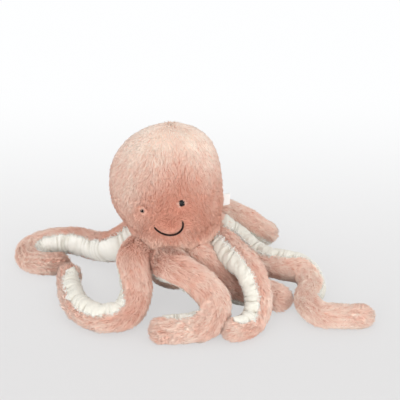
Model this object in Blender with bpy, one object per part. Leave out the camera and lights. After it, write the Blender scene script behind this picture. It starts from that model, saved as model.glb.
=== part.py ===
"""Plush octopus that sits on a table with its eight arms curled around it.

The origin is the centre of the base panel's underside, +Z is up, and the face
looks along -Y, turned a little towards -X. A fabric surface here is the
backing cloth halfway into its pile.
"""

import math

import bmesh
import bpy
import numpy as np
from mathutils import Matrix, Vector

MM = 0.001

# Clearances and cuts
GAP = 0.3 * MM
OVERRUN = 4 * MM
FLOOR_PRESS = 0.5 * MM

# Body bag: head and belly are one egg with a waist where the arms are sewn on
BODY_HEIGHT = 249 * MM
HEAD_RADIUS = 81.5 * MM
WIDEST_HEIGHT = 152 * MM
HEAD_LEAN = 18 * MM
BASE_RADIUS = 43 * MM
BAG_WALL = 3 * MM
DOME_EXPONENT = 2.4
SWELL_EXPONENT = 0.85
LEAN_TURN_SHARE = 0.88

# Base panel and what fills the bag
PANEL_THICKNESS = 3 * MM
PELLET_RADIUS = 37 * MM
PELLET_EXPONENT = 3.0

# Arm roots: eight balls in a ring round the waist
ARM_COUNT = 8
ROOT_RING_RADIUS = 62 * MM
ROOT_HEIGHT = 61 * MM
FIRST_ARM_TURN = -15.0
ROOT_STANDOFF_SHARE = 0.72
WAIST_TOP_SHARE = 0.6

# Arms: a fur sleeve, open along its inner side, closed there by a pale strip
ARM_LENGTH = 300 * MM
ARM_ROOT_RADIUS = 22 * MM
ARM_TIP_RADIUS = 14 * MM
SLEEVE_WALL = 3 * MM
STRIP_WALL = 2 * MM
STRIP_HALF_ANGLE = 55.0
SEAM_GAP = 0.5 * MM
CORE_SHARE = 0.86

# Eyes: a glossy bead on a shank, held inside the bag by a washer
EYE_LINE_HEIGHT = 164.5 * MM
EYE_SPACING = 59 * MM
EYE_RADIUS = 5 * MM
EYE_CROWN = 4 * MM
EYE_SINK = 1 * MM
SHANK_RADIUS = 2 * MM
SHANK_LENGTH = 10 * MM
WASHER_RADIUS = 7 * MM
WASHER_THICKNESS = 1.5 * MM
WASHER_SEAT = 1.1 * MM
FACE_TILT = 12.0
FACE_TURN = -2.3

# Mouth: one embroidered arc
MOUTH_WIDTH = 44 * MM
MOUTH_DROP = 21.5 * MM
MOUTH_BELOW_EYES = 26 * MM
STITCH_RADIUS = 1.5 * MM

# Ribbon label, bare, sewn into the back panel beside the side seam
LABEL_HEIGHT = 125 * MM
LABEL_TURN = 98.0
LABEL_POINTING = 112.0
LABEL_WIDTH = 20 * MM
LABEL_REACH = 15 * MM
LABEL_THICKNESS = 1.2 * MM

# Step used to find the slope of the bag's surface
SLOPE_STEP = 5 * MM

# Facets
SHARP_ANGLE = 40.0
BAG_SEGMENTS = 14
FOOT_RINGS = 3
WAIST_RINGS = 3
SWELL_RINGS = 6
DOME_RINGS = 9
ARM_RINGS = 16
CAP_RINGS = 2
SLEEVE_SEGMENTS = 10
LINING_SEGMENTS = 6
STRIP_SEGMENTS = 2
CORE_SEGMENTS = 6
SOCKET_SEGMENTS = 30
PELLET_RINGS = 7
PELLET_END_TURN = 75.0
EYE_SEGMENTS = 16
EYE_CROWN_RINGS = 4
MOUTH_RINGS = 15
MOUTH_SEGMENTS = 6
FOLD_TURNS = (-45.0, 0.0, 45.0)
CURVE_SAMPLES = 240

# Colour and roughness of every cloth, thread and plastic
SURFACE_LOOKS = {
    "peach_fur": ((0.78, 0.47, 0.38), 0.9),
    "cream_cloth": ((0.87, 0.85, 0.76), 0.85),
    "white_fibre": ((0.9, 0.9, 0.88), 0.95),
    "pellet_canvas": ((0.6, 0.58, 0.52), 0.9),
    "black_bead": ((0.01, 0.01, 0.01), 0.08),
    "washer_plastic": ((0.8, 0.8, 0.78), 0.4),
    "brown_thread": ((0.03, 0.015, 0.01), 0.6),
    "white_ribbon": ((0.85, 0.84, 0.8), 0.6),
}

# Routes of the arms, in order round the waist from the front towards +X.
# Each point gives x and y from the arm's root as shares of ARM_LENGTH, its
# height above lying flat as a share of ROOT_HEIGHT, and the side its pale
# strip faces: 0 is down, 90 is the left-hand side of the arm's course.
ARM_ROUTE_SHARES = {
    "front": (
        (0.05, -0.12, 0.86, 10), (0.155, -0.18, 0.70, 15), (0.23, -0.24, 0.38, 10),
        (0.22, -0.31, 0.12, -10), (0.15, -0.345, 0.02, -45), (0.05, -0.355, 0.00, -60),
        (-0.055, -0.36, 0.00, -60),
    ),
    "front_right": (
        (0.08, -0.06, 0.36, -20), (0.20, -0.07, 0.06, -30), (0.31, -0.075, 0.00, -30),
        (0.39, -0.115, 0.00, -30), (0.43, -0.145, 0.00, -30),
    ),
    "right": (
        (0.08, -0.14, 0.82, -100), (0.155, -0.27, 0.78, -105), (0.19, -0.36, 0.37, -110),
        (0.17, -0.43, 0.04, -115), (0.11, -0.485, 0.00, -125), (0.03, -0.505, 0.00, -125),
    ),
    "right_rear": (
        (0.11, -0.02, 0.36, 150), (0.23, -0.13, 0.20, 165), (0.35, -0.18, 0.20, 165),
        (0.45, -0.22, 0.18, 125), (0.49, -0.32, 0.07, 95), (0.46, -0.43, 0.02, 90),
        (0.51, -0.53, 0.00, 88), (0.63, -0.55, 0.00, 85), (0.755, -0.54, 0.00, 85),
    ),
    "rear": (
        (0.085, 0.052, 0.74, -35), (0.19, 0.042, 0.76, -45), (0.295, 0.00, 0.67, -45),
        (0.37, -0.02, 0.48, -45), (0.405, 0.025, 0.27, -45), (0.39, 0.10, 0.07, -45),
        (0.34, 0.17, 0.00, -45),
    ),
    "left_rear": (
        (-0.05, 0.10, 0.50, -20), (-0.06, 0.20, 0.12, -40), (0.01, 0.29, 0.00, -70),
        (0.11, 0.31, 0.00, -80), (0.18, 0.24, 0.00, -80), (0.18, 0.14, 0.00, -80),
    ),
    "left": (
        (-0.13, -0.01, 0.36, 95), (-0.24, 0.08, 0.11, 110), (-0.37, 0.15, 0.06, 115),
        (-0.48, 0.155, 0.02, 115), (-0.56, 0.125, 0.00, 105), (-0.597, 0.06, 0.00, 90),
        (-0.565, -0.01, 0.00, 90), (-0.48, -0.035, 0.00, 90), (-0.385, -0.02, 0.00, 90),
    ),
    "front_left": (
        (-0.04, -0.12, 0.78, -30), (-0.02, -0.25, 0.34, -65), (-0.06, -0.345, 0.06, -110),
        (-0.17, -0.375, 0.02, -145), (-0.28, -0.31, 0.02, -145), (-0.34, -0.20, 0.03, -132),
        (-0.37, -0.08, 0.07, -125), (-0.375, 0.025, 0.16, -120),
    ),
}

# Sizes that follow from the ones above
WAIST_RADIUS = ROOT_RING_RADIUS - ROOT_STANDOFF_SHARE * ARM_ROOT_RADIUS
WAIST_BOTTOM = ROOT_HEIGHT - ARM_ROOT_RADIUS
WAIST_TOP = ROOT_HEIGHT + WAIST_TOP_SHARE * ARM_ROOT_RADIUS
PANEL_RADIUS = BASE_RADIUS - BAG_WALL - GAP
FILLING_BOTTOM = ROOT_HEIGHT + ARM_ROOT_RADIUS
PELLET_BOTTOM = PANEL_THICKNESS + GAP
PELLET_TOP = FILLING_BOTTOM - GAP


def clear_scene():
    """Remove whatever the open file holds."""
    for obj in list(bpy.data.objects):
        bpy.data.objects.remove(obj, do_unlink=True)


def material(name, colour, roughness):
    """A plain cloth or plastic in one colour."""
    made = bpy.data.materials.new(name)
    made.use_nodes = True
    shader = made.node_tree.nodes["Principled BSDF"]
    shader.inputs["Base Color"].default_value = (*colour, 1.0)
    shader.inputs["Roughness"].default_value = roughness
    shader.inputs["Metallic"].default_value = 0.0
    return made


def solid(name, vertices, faces, surface, origin=(0.0, 0.0, 0.0)):
    """An object from points and faces, with its faces turned outwards."""
    origin = Vector(origin)
    mesh = bpy.data.meshes.new(name)
    mesh.from_pydata([Vector(vertex) - origin for vertex in vertices], [], faces)
    shape = bmesh.new()
    shape.from_mesh(mesh)
    bmesh.ops.recalc_face_normals(shape, faces=shape.faces)
    shape.to_mesh(mesh)
    shape.free()
    mesh.materials.append(surface)
    mesh.shade_smooth()
    mesh.set_sharp_from_angle(angle=math.radians(SHARP_ANGLE))
    obj = bpy.data.objects.new(name, mesh)
    obj.location = origin
    bpy.context.collection.objects.link(obj)
    return obj


def cut(target, cutter):
    """Subtract one closed object from another."""
    cutter.hide_render = True
    cutter.display_type = "WIRE"
    boolean = target.modifiers.new(cutter.name, "BOOLEAN")
    boolean.operation = "DIFFERENCE"
    boolean.solver = "EXACT"
    boolean.object = cutter


class Patch:
    """Collects the points and faces of one closed solid."""

    def __init__(self):
        self.vertices = []
        self.faces = []

    def add(self, points):
        """Add points of any grid shape and return their numbers in that shape."""
        points = np.asarray(points, dtype=float)
        first = len(self.vertices)
        self.vertices.extend(map(tuple, points.reshape(-1, 3)))
        return np.arange(first, len(self.vertices)).reshape(points.shape[:-1])

    def strip(self, row, other):
        """Quads between two rows of equal length."""
        for index in range(len(row) - 1):
            corners = (row[index], row[index + 1], other[index + 1], other[index])
            self.faces.append([int(corner) for corner in corners])

    def grid(self, rows):
        """Quads over a grid of numbered points."""
        for row, other in zip(rows[:-1], rows[1:]):
            self.strip(row, other)

    def fan(self, pole, row):
        """Triangles from one point to a row."""
        for index in range(len(row) - 1):
            self.faces.append([int(pole), int(row[index]), int(row[index + 1])])


def thick_sheet(outer, inner, outer_poles, inner_poles):
    """A sheet with thickness: two grids joined round their four edges.

    The first and last row of each grid may run into a pole point; where the
    poles are None the two grids are joined by an end wall instead.
    """
    patch = Patch()
    out_rows, in_rows = patch.add(outer), patch.add(inner)
    patch.grid(out_rows)
    patch.grid(in_rows)
    out_sides = [out_rows[:, 0], out_rows[:, -1]]
    in_sides = [in_rows[:, 0], in_rows[:, -1]]
    for end, out_pole, in_pole in zip((0, -1), outer_poles, inner_poles):
        if out_pole is None:
            wall = list(out_rows[end]) + list(in_rows[end])[::-1]
            patch.faces.append([int(corner) for corner in wall])
            continue
        out_tip, in_tip = patch.add([out_pole, in_pole])
        patch.fan(out_tip, out_rows[end])
        patch.fan(in_tip, in_rows[end])
        place = 0 if end == 0 else len(out_sides[0])
        out_sides = [np.insert(side, place, out_tip) for side in out_sides]
        in_sides = [np.insert(side, place, in_tip) for side in in_sides]
    for out_side, in_side in zip(out_sides, in_sides):
        patch.strip(out_side, in_side)
    return patch.vertices, patch.faces


def closed_tube(rings, poles):
    """A solid of closed rings, ended by a pole point or by a flat face."""
    patch = Patch()
    rows = patch.add(rings)
    rows = np.column_stack([rows, rows[:, 0]])
    patch.grid(rows)
    for end, pole in zip((0, -1), poles):
        if pole is None:
            patch.faces.append([int(corner) for corner in rows[end][:-1]])
        else:
            patch.fan(patch.add([pole])[0], rows[end])
    return patch.vertices, patch.faces


def turned(profile, frame, segments):
    """A solid turned about the frame's Z axis from (radius, height) pairs off the axis.

    Its two ends are flat, or run to a point where the first or last radius is zero.
    """
    angles = np.arange(segments) * math.tau / segments
    profile = np.asarray(profile, dtype=float)
    tips = [(0.0, 0.0, height) if radius == 0.0 else None for radius, height in (profile[0], profile[-1])]
    body = profile[profile[:, 0] > 0.0]
    rings = np.stack([
        body[:, :1] * np.cos(angles),
        body[:, :1] * np.sin(angles),
        np.repeat(body[:, 1:], segments, axis=1),
    ], axis=-1)
    vertices, faces = closed_tube(rings, tips)
    return [frame @ Vector(vertex) for vertex in vertices], faces


def bag_profile():
    """(height, radius) of the bag's outer surface, from the base to the crown.

    The foot is a quarter ellipse, the waist a short cylinder, the swell above
    it a quarter sine wave, and the dome a quarter superellipse.
    """
    foot = [
        (WAIST_BOTTOM * (1.0 - math.cos(turn)), BASE_RADIUS + (WAIST_RADIUS - BASE_RADIUS) * math.sin(turn))
        for turn in np.linspace(0.0, math.pi / 2, FOOT_RINGS, endpoint=False)
    ]
    waist = [(height, WAIST_RADIUS) for height in np.linspace(WAIST_BOTTOM, WAIST_TOP, WAIST_RINGS)]
    swell = [
        (
            WAIST_TOP + share * (WIDEST_HEIGHT - WAIST_TOP),
            WAIST_RADIUS
            + (HEAD_RADIUS - WAIST_RADIUS) * math.sin(math.pi / 2 * share ** SWELL_EXPONENT),
        )
        for share in np.linspace(0.0, 1.0, SWELL_RINGS + 1)[1:]
    ]
    dome = [
        (
            WIDEST_HEIGHT + (BODY_HEIGHT - WIDEST_HEIGHT) * math.sin(turn) ** (2.0 / DOME_EXPONENT),
            HEAD_RADIUS * math.cos(turn) ** (2.0 / DOME_EXPONENT),
        )
        for turn in np.linspace(0.0, math.pi / 2, DOME_RINGS + 1)[1:-1]
    ]
    return np.array(foot + waist + swell + dome + [(BODY_HEIGHT, 0.0)])


def inset_profile(inset):
    """The bag's profile moved inwards, square to itself; its foot stays on the floor."""
    profile = bag_profile()
    along = np.gradient(profile, axis=0)
    along /= np.linalg.norm(along, axis=1)[:, None]
    moved = profile - inset * np.column_stack([-along[:, 1], along[:, 0]])
    moved[0] = (0.0, BASE_RADIUS - inset)
    moved[-1] = (BODY_HEIGHT - inset, 0.0)
    return moved


def lean(height):
    """How far the bag's middle line stands towards -X at a height."""
    share = np.clip((height - WAIST_TOP) / (BODY_HEIGHT - WAIST_TOP), 0.0, 1.0)
    return -HEAD_LEAN * np.sin(math.pi * share * LEAN_TURN_SHARE)


def bag_grid(profile, angles):
    """Points of the leaning bag: one row for each profile point, one column for each angle."""
    height, radius = profile[:, :1], profile[:, 1:]
    return np.stack([
        lean(height) + radius * np.sin(angles),
        -radius * np.cos(angles),
        np.repeat(height, len(angles), axis=1),
    ], axis=-1)


def bag_point(height, angle):
    """A point of the bag's outer surface; an angle of 0 is the front and pi / 2 is +X."""
    profile = bag_profile()
    radius = np.interp(height, profile[:, 0], profile[:, 1])
    return Vector((
        float(lean(height)) + radius * math.sin(angle),
        -radius * math.cos(angle),
        height,
    ))


def bag_frame(height, angle):
    """A frame on the bag's surface whose Z axis points out and whose Y axis points up."""
    up = (bag_point(height + SLOPE_STEP, angle) - bag_point(height - SLOPE_STEP, angle)).normalized()
    turn = SLOPE_STEP / HEAD_RADIUS
    across = (bag_point(height, angle + turn) - bag_point(height, angle - turn)).normalized()
    out = across.cross(up).normalized()
    frame = Matrix((across, out.cross(across), out)).transposed().to_4x4()
    frame.translation = bag_point(height, angle)
    return frame


def face_place(across, above):
    """Height and angle on the bag of a point of the face, which is tilted and turned."""
    tilt = math.radians(FACE_TILT)
    height = EYE_LINE_HEIGHT + across * math.sin(tilt) + above * math.cos(tilt)
    level = across * math.cos(tilt) - above * math.sin(tilt)
    return height, math.radians(FACE_TURN) + level / HEAD_RADIUS


def body_panels(fur):
    """The bag's front and back fur panels, sewn together down both sides."""
    outer, inner = inset_profile(0.0), inset_profile(BAG_WALL)
    panels = []
    for name, middle, side in (("body_front_panel", 0.0, -1.0), ("body_back_panel", math.pi, 1.0)):
        angles = middle + np.linspace(-math.pi / 2, math.pi / 2, BAG_SEGMENTS + 1)
        seam = np.array((0.0, side * GAP / 2, 0.0))
        outside, inside = bag_grid(outer, angles) + seam, bag_grid(inner, angles) + seam
        vertices, faces = thick_sheet(
            outside[:-1], inside[:-1],
            (None, outside[-1, 0]), (None, inside[-1, 0]),
        )
        panels.append(solid(name, vertices, faces, fur))
    return panels


def arm_sockets(fur):
    """Balls that open the bag where the eight arms are sewn on."""
    shape = bmesh.new()
    for turn in root_turns():
        place = Matrix.Translation(root_point(turn))
        bmesh.ops.create_uvsphere(
            shape, u_segments=SOCKET_SEGMENTS, v_segments=SOCKET_SEGMENTS // 2,
            radius=ARM_ROOT_RADIUS + GAP, matrix=place)
    mesh = bpy.data.meshes.new("arm_sockets")
    shape.to_mesh(mesh)
    shape.free()
    mesh.materials.append(fur)
    cutter = bpy.data.objects.new("arm_sockets", mesh)
    bpy.context.collection.objects.link(cutter)
    return cutter


def body_filling(fibre):
    """Fibre that fills the head, from above the arms' roots to the crown."""
    profile = inset_profile(BAG_WALL + GAP)
    radius = np.interp(FILLING_BOTTOM, profile[:, 0], profile[:, 1])
    above = profile[profile[:, 0] > FILLING_BOTTOM + BAG_WALL]
    profile = np.vstack([[FILLING_BOTTOM, radius], above])
    angles = np.arange(BAG_SEGMENTS) * math.tau / BAG_SEGMENTS
    rings = bag_grid(profile, angles)
    vertices, faces = closed_tube(rings[:-1], (None, rings[-1, 0]))
    return solid("body_filling", vertices, faces, fibre)


def pellet_bag(canvas):
    """A bag of pellets in the belly, round in plan and bulging between two flat ends."""
    middle = (PELLET_TOP + PELLET_BOTTOM) / 2
    reach = math.sin(math.radians(PELLET_END_TURN)) ** (2.0 / PELLET_EXPONENT)
    half = (PELLET_TOP - PELLET_BOTTOM) / 2 / reach
    profile = [
        (
            PELLET_RADIUS * max(math.cos(turn), 0.0) ** (2.0 / PELLET_EXPONENT),
            middle + half * math.copysign(abs(math.sin(turn)) ** (2.0 / PELLET_EXPONENT), turn),
        )
        for turn in np.radians(np.linspace(-PELLET_END_TURN, PELLET_END_TURN, PELLET_RINGS))
    ]
    vertices, faces = turned(profile, Matrix.Identity(4), BAG_SEGMENTS)
    return solid("pellet_bag", vertices, faces, canvas)


def base_panel(cloth):
    """The flat round panel that closes the bag and stands on the table."""
    vertices, faces = turned(
        [(PANEL_RADIUS, 0.0), (PANEL_RADIUS, PANEL_THICKNESS)], Matrix.Identity(4), 2 * BAG_SEGMENTS)
    return solid("base_panel", vertices, faces, cloth)


def eye(side, across, panel, filling, bead, plastic):
    """One eye with its washer; the panel and the filling are cut to take them."""
    frame = bag_frame(*face_place(across, 0.0))
    crown = [
        (EYE_RADIUS * math.cos(turn), (EYE_CROWN - EYE_SINK) * math.sin(turn))
        for turn in np.linspace(0.0, math.pi / 2, EYE_CROWN_RINGS + 1)[:-1]
    ]
    profile = [
        (SHANK_RADIUS, -SHANK_LENGTH), (SHANK_RADIUS, -EYE_SINK), (EYE_RADIUS, -EYE_SINK),
        *crown, (0.0, EYE_CROWN - EYE_SINK),
    ]
    vertices, faces = turned(profile, frame, EYE_SEGMENTS)
    solid("eye_" + side, vertices, faces, bead)

    seat = -(BAG_WALL + WASHER_SEAT)
    bore = SHANK_RADIUS + GAP
    patch = Patch()
    ring = [
        (bore, seat), (WASHER_RADIUS, seat),
        (WASHER_RADIUS, seat - WASHER_THICKNESS), (bore, seat - WASHER_THICKNESS),
    ]
    angles = np.arange(EYE_SEGMENTS) * math.tau / EYE_SEGMENTS
    rows = np.array([
        [frame @ Vector((radius * math.cos(turn), radius * math.sin(turn), height)) for turn in angles]
        for radius, height in ring
    ])
    numbers = patch.add(rows)
    numbers = np.column_stack([numbers, numbers[:, 0]])
    patch.grid(np.vstack([numbers, numbers[:1]]))
    solid("eye_washer_" + side, patch.vertices, patch.faces, plastic)

    hole = [
        (bore, -SHANK_LENGTH - OVERRUN), (bore, -EYE_SINK - GAP),
        (EYE_RADIUS + GAP, -EYE_SINK - GAP), (EYE_RADIUS + GAP, OVERRUN),
    ]
    vertices, faces = turned(hole, frame, EYE_SEGMENTS)
    cut(panel, solid("eye_hole_" + side, vertices, faces, plastic))
    pocket = [(WASHER_RADIUS + GAP, -SHANK_LENGTH - GAP), (WASHER_RADIUS + GAP, OVERRUN)]
    vertices, faces = turned(pocket, frame, EYE_SEGMENTS)
    cut(filling, solid("eye_pocket_" + side, vertices, faces, plastic))


def mouth_stitch(thread):
    """The smile: half an ellipse of satin stitch that lies on the face."""
    line = []
    for turn in np.linspace(-math.pi / 2, math.pi / 2, MOUTH_RINGS):
        across = MOUTH_WIDTH / 2 * math.sin(turn)
        above = -MOUTH_BELOW_EYES - MOUTH_DROP * math.cos(turn)
        frame = bag_frame(*face_place(across, above))
        line.append(frame @ Vector((0.0, 0.0, STITCH_RADIUS + GAP)))
    line = np.array(line)
    along = np.gradient(line, axis=0)
    along /= np.linalg.norm(along, axis=1)[:, None]
    out = np.array((0.0, -1.0, 0.0))
    side = np.cross(along, out)
    side /= np.linalg.norm(side, axis=1)[:, None]
    normal = np.cross(side, along)
    angles = np.arange(MOUTH_SEGMENTS) * math.tau / MOUTH_SEGMENTS
    rings = line[:, None] + STITCH_RADIUS * (
        np.cos(angles)[None, :, None] * side[:, None] + np.sin(angles)[None, :, None] * normal[:, None])
    vertices, faces = closed_tube(rings, (None, None))
    return solid("mouth_stitch", vertices, faces, thread)


def label(ribbon):
    """A folded ribbon, bare of print, that stands out of the bag behind its side seam."""
    frame = bag_frame(LABEL_HEIGHT, math.radians(LABEL_TURN))
    foot = frame @ Vector((0.0, 0.0, GAP + LABEL_THICKNESS / 2))
    turn = math.radians(LABEL_POINTING)
    out = Vector((math.sin(turn), -math.cos(turn), 0.0))
    across = Vector((0.0, 0.0, 1.0))
    through = out.cross(across)
    half = LABEL_THICKNESS / 2
    outline = [(0.0, -half), (LABEL_REACH - half, -half)]
    outline += [
        (LABEL_REACH - half + half * math.cos(bend), half * math.sin(bend))
        for bend in np.radians(FOLD_TURNS)
    ]
    outline += [(LABEL_REACH - half, half), (0.0, half)]
    rows = np.array([
        [foot + out * reach + through * depth + across * end * LABEL_WIDTH / 2 for reach, depth in outline]
        for end in (-1.0, 1.0)
    ])
    vertices, faces = closed_tube(rows, (None, None))
    return solid("ribbon_label", vertices, faces, ribbon)


def root_turns():
    """Turns of the eight roots about the waist, in degrees from the front."""
    return [FIRST_ARM_TURN + index * 360.0 / ARM_COUNT for index in range(ARM_COUNT)]


def outward(turn):
    """Level unit vector that points away from the body at a turn."""
    return Vector((math.sin(math.radians(turn)), -math.cos(math.radians(turn)), 0.0))


def root_point(turn):
    """Centre of an arm's root ball."""
    return outward(turn) * ROOT_RING_RADIUS + Vector((0.0, 0.0, ROOT_HEIGHT))


def smooth_curve(points, samples):
    """Centripetal Catmull-Rom curve through points of any number of dimensions."""
    ends = np.vstack([2 * points[0] - points[1], points, 2 * points[-1] - points[-2]])
    spans = np.sqrt(np.linalg.norm(np.diff(ends[:, :3], axis=0), axis=1))
    knots = np.concatenate([[0.0], np.cumsum(spans)])
    place = np.linspace(knots[1], knots[-2], samples)
    first = np.clip(np.searchsorted(knots, place, side="right") - 1, 1, len(points) - 1)
    corners = [ends[first + shift] for shift in (-1, 0, 1, 2)]
    times = [knots[first + shift] for shift in (-1, 0, 1, 2)]

    def between(low, high, left, right):
        share = ((place - times[low]) / (times[high] - times[low]))[:, None]
        return left * (1.0 - share) + right * share

    lines = [between(index, index + 1, corners[index], corners[index + 1]) for index in range(3)]
    bends = [between(index, index + 2, lines[index], lines[index + 1]) for index in range(2)]
    return between(1, 2, bends[0], bends[1])


class Arm:
    """The course of one arm: its middle line, its radius and the side of its pale strip."""

    def __init__(self, turn, route):
        root = np.array(root_point(turn))
        rise = ROOT_HEIGHT - ARM_ROOT_RADIUS + FLOOR_PRESS
        points = [(root[0], root[1], rise, route[0][3])]
        points += [
            (root[0] + x * ARM_LENGTH, root[1] + y * ARM_LENGTH, lift * ROOT_HEIGHT, side)
            for x, y, lift, side in route
        ]
        curve = smooth_curve(np.array(points), CURVE_SAMPLES)
        curve[:, 2] = np.maximum(curve[:, 2], 0.0)
        steps = np.linalg.norm(np.diff(curve[:, :3], axis=0), axis=1)
        self.run = np.concatenate([[0.0], np.cumsum(steps)])
        self.length = self.run[-1]
        self.side = np.radians(curve[:, 3])
        self.line = curve[:, :3].copy()
        self.line[:, 2] += self.radius(self.run) - FLOOR_PRESS
        self.along = np.gradient(self.line, axis=0)
        self.along /= np.linalg.norm(self.along, axis=1)[:, None]
        self.down = self.carried_down()
        self.root = root

    def carried_down(self):
        """The downward direction at the root, carried along the arm without twist."""
        carried = np.empty_like(self.along)
        direction = np.array((0.0, 0.0, -1.0))
        for index, along in enumerate(self.along):
            direction = direction - along * direction.dot(along)
            direction /= np.linalg.norm(direction)
            carried[index] = direction
        return carried

    def radius(self, run):
        """Outer radius at a distance along the arm, tapering evenly to the tip."""
        share = np.clip(run / self.length, 0.0, 1.0)
        return ARM_ROOT_RADIUS + (ARM_TIP_RADIUS - ARM_ROOT_RADIUS) * share

    def stations(self, inset, rings=ARM_RINGS):
        """(distance along, radius) of each ring, with a half ball at either end.

        The half balls stay concentric whatever the inset.
        """
        root_ball, tip_ball = ARM_ROOT_RADIUS - inset, ARM_TIP_RADIUS - inset
        last = self.length - ARM_TIP_RADIUS
        turns = np.linspace(math.pi / 2, 0.0, CAP_RINGS + 2)[1:-1]
        shank = np.linspace(0.0, last, rings)
        run = np.concatenate([
            -root_ball * np.sin(turns), shank, last + tip_ball * np.sin(turns[::-1])])
        radius = np.concatenate([
            root_ball * np.cos(turns), self.radius(shank) - inset, tip_ball * np.cos(turns[::-1])])
        return run, radius, (-root_ball, last + tip_ball)

    def frames(self, run):
        """Middle point, pale direction and sideways direction at distances along the arm."""
        inside = np.clip(run, 0.0, self.length)
        middle = np.column_stack([np.interp(inside, self.run, axis) for axis in self.line.T])
        along = np.column_stack([np.interp(inside, self.run, axis) for axis in self.along.T])
        along /= np.linalg.norm(along, axis=1)[:, None]
        middle += along * (run - inside)[:, None]
        down = np.column_stack([np.interp(inside, self.run, axis) for axis in self.down.T])
        down -= along * (along * down).sum(axis=1)[:, None]
        down /= np.linalg.norm(down, axis=1)[:, None]
        left = np.cross(along, down)
        side = np.interp(inside, self.run, self.side)[:, None]
        pale = down * np.cos(side) + left * np.sin(side)
        return middle, pale, np.cross(along, pale)

    def grid(self, stations, angles):
        """Points at angles from the pale direction on each ring, pressed flat on the floor."""
        run, radius, ends = stations
        middle, pale, across = self.frames(run)
        points = middle[:, None] + radius[:, None, None] * (
            np.cos(angles)[..., None] * pale[:, None] + np.sin(angles)[..., None] * across[:, None])
        points[..., 2] = np.maximum(points[..., 2], 0.0)
        poles = self.frames(np.array(ends))[0]
        poles[:, 2] = np.maximum(poles[:, 2], 0.0)
        return points, poles


def arm_pieces(name, arm, fur, cloth, fibre):
    """The three pieces of one arm: fur sleeve, pale underside and filling."""
    window = math.radians(STRIP_HALF_ANGLE)
    outside = arm.stations(0.0)
    outer, outer_poles = arm.grid(
        outside, np.linspace(window, math.tau - window, SLEEVE_SEGMENTS + 1)[None])
    inner, inner_poles = arm.grid(
        arm.stations(SLEEVE_WALL), np.linspace(window, math.tau - window, LINING_SEGMENTS + 1)[None])
    vertices, faces = thick_sheet(outer, inner, outer_poles, inner_poles)
    solid("arm_%s_sleeve" % name, vertices, faces, fur, arm.root)

    shares = np.linspace(-1.0, 1.0, STRIP_SEGMENTS + 1)[None]
    edge = window - SEAM_GAP / outside[1][:, None]
    outer, _ = arm.grid(outside, shares * edge)
    inner, _ = arm.grid(arm.stations(STRIP_WALL), shares * edge)
    vertices, faces = thick_sheet(outer, inner, (None, None), (None, None))
    solid("arm_%s_underside" % name, vertices, faces, cloth, arm.root)

    run, radius, ends = arm.stations(SLEEVE_WALL + GAP)
    angles = (np.arange(CORE_SEGMENTS) * math.tau / CORE_SEGMENTS)[None]
    rings, poles = arm.grid((run, radius * CORE_SHARE, ends), angles)
    vertices, faces = closed_tube(rings, poles)
    solid("arm_%s_filling" % name, vertices, faces, fibre, arm.root)


def main():
    """Build every piece of the toy."""
    clear_scene()
    looks = {name: material(name, *look) for name, look in SURFACE_LOOKS.items()}
    fur, cloth, fibre = looks["peach_fur"], looks["cream_cloth"], looks["white_fibre"]

    panels = body_panels(fur)
    filling = body_filling(fibre)
    sockets = arm_sockets(fur)
    for panel in panels:
        cut(panel, sockets)
    pellet_bag(looks["pellet_canvas"])
    base_panel(cloth)
    for side, across in (("left", -EYE_SPACING / 2), ("right", EYE_SPACING / 2)):
        eye(side, across, panels[0], filling, looks["black_bead"], looks["washer_plastic"])
    mouth_stitch(looks["brown_thread"])
    label(looks["white_ribbon"])
    for turn, (name, route) in zip(root_turns(), ARM_ROUTE_SHARES.items()):
        arm_pieces(name, Arm(turn, route), fur, cloth, fibre)


main()
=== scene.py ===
import math

import bpy
import numpy as np
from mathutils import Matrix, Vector


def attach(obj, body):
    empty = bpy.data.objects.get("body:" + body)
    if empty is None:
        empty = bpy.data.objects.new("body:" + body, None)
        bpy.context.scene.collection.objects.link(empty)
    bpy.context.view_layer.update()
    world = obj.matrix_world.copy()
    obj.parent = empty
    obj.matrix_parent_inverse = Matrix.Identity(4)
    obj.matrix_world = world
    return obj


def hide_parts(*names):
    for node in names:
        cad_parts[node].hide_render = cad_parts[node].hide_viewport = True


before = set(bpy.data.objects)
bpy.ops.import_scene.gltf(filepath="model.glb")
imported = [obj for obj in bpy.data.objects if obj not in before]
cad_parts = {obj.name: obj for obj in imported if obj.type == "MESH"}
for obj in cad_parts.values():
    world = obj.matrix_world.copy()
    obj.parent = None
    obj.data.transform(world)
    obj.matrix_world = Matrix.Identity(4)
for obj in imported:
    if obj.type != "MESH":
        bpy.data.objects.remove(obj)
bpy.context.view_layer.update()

MM = 0.001
TAU = math.tau
QUARTER = math.pi / 2
UP = np.array((0.0, 0.0, 1.0))
LOWEST = (-np.inf, -np.inf, 0.0)  # no point of the toy goes below the floor

# Body bag and where the arms are sewn on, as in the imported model
BODY_HEIGHT = 249 * MM
HEAD_RADIUS = 81.5 * MM
WIDEST_HEIGHT = 152 * MM
HEAD_LEAN = 18 * MM
BASE_RADIUS = 43 * MM
BAG_WALL = 3 * MM
DOME_EXPONENT = 2.4
SWELL_EXPONENT = 0.85
LEAN_TURN_SHARE = 0.88
PANEL_GAP = 0.3 * MM
PANEL_RADIUS = BASE_RADIUS - BAG_WALL - PANEL_GAP
PANEL_THICKNESS = 3 * MM

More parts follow.
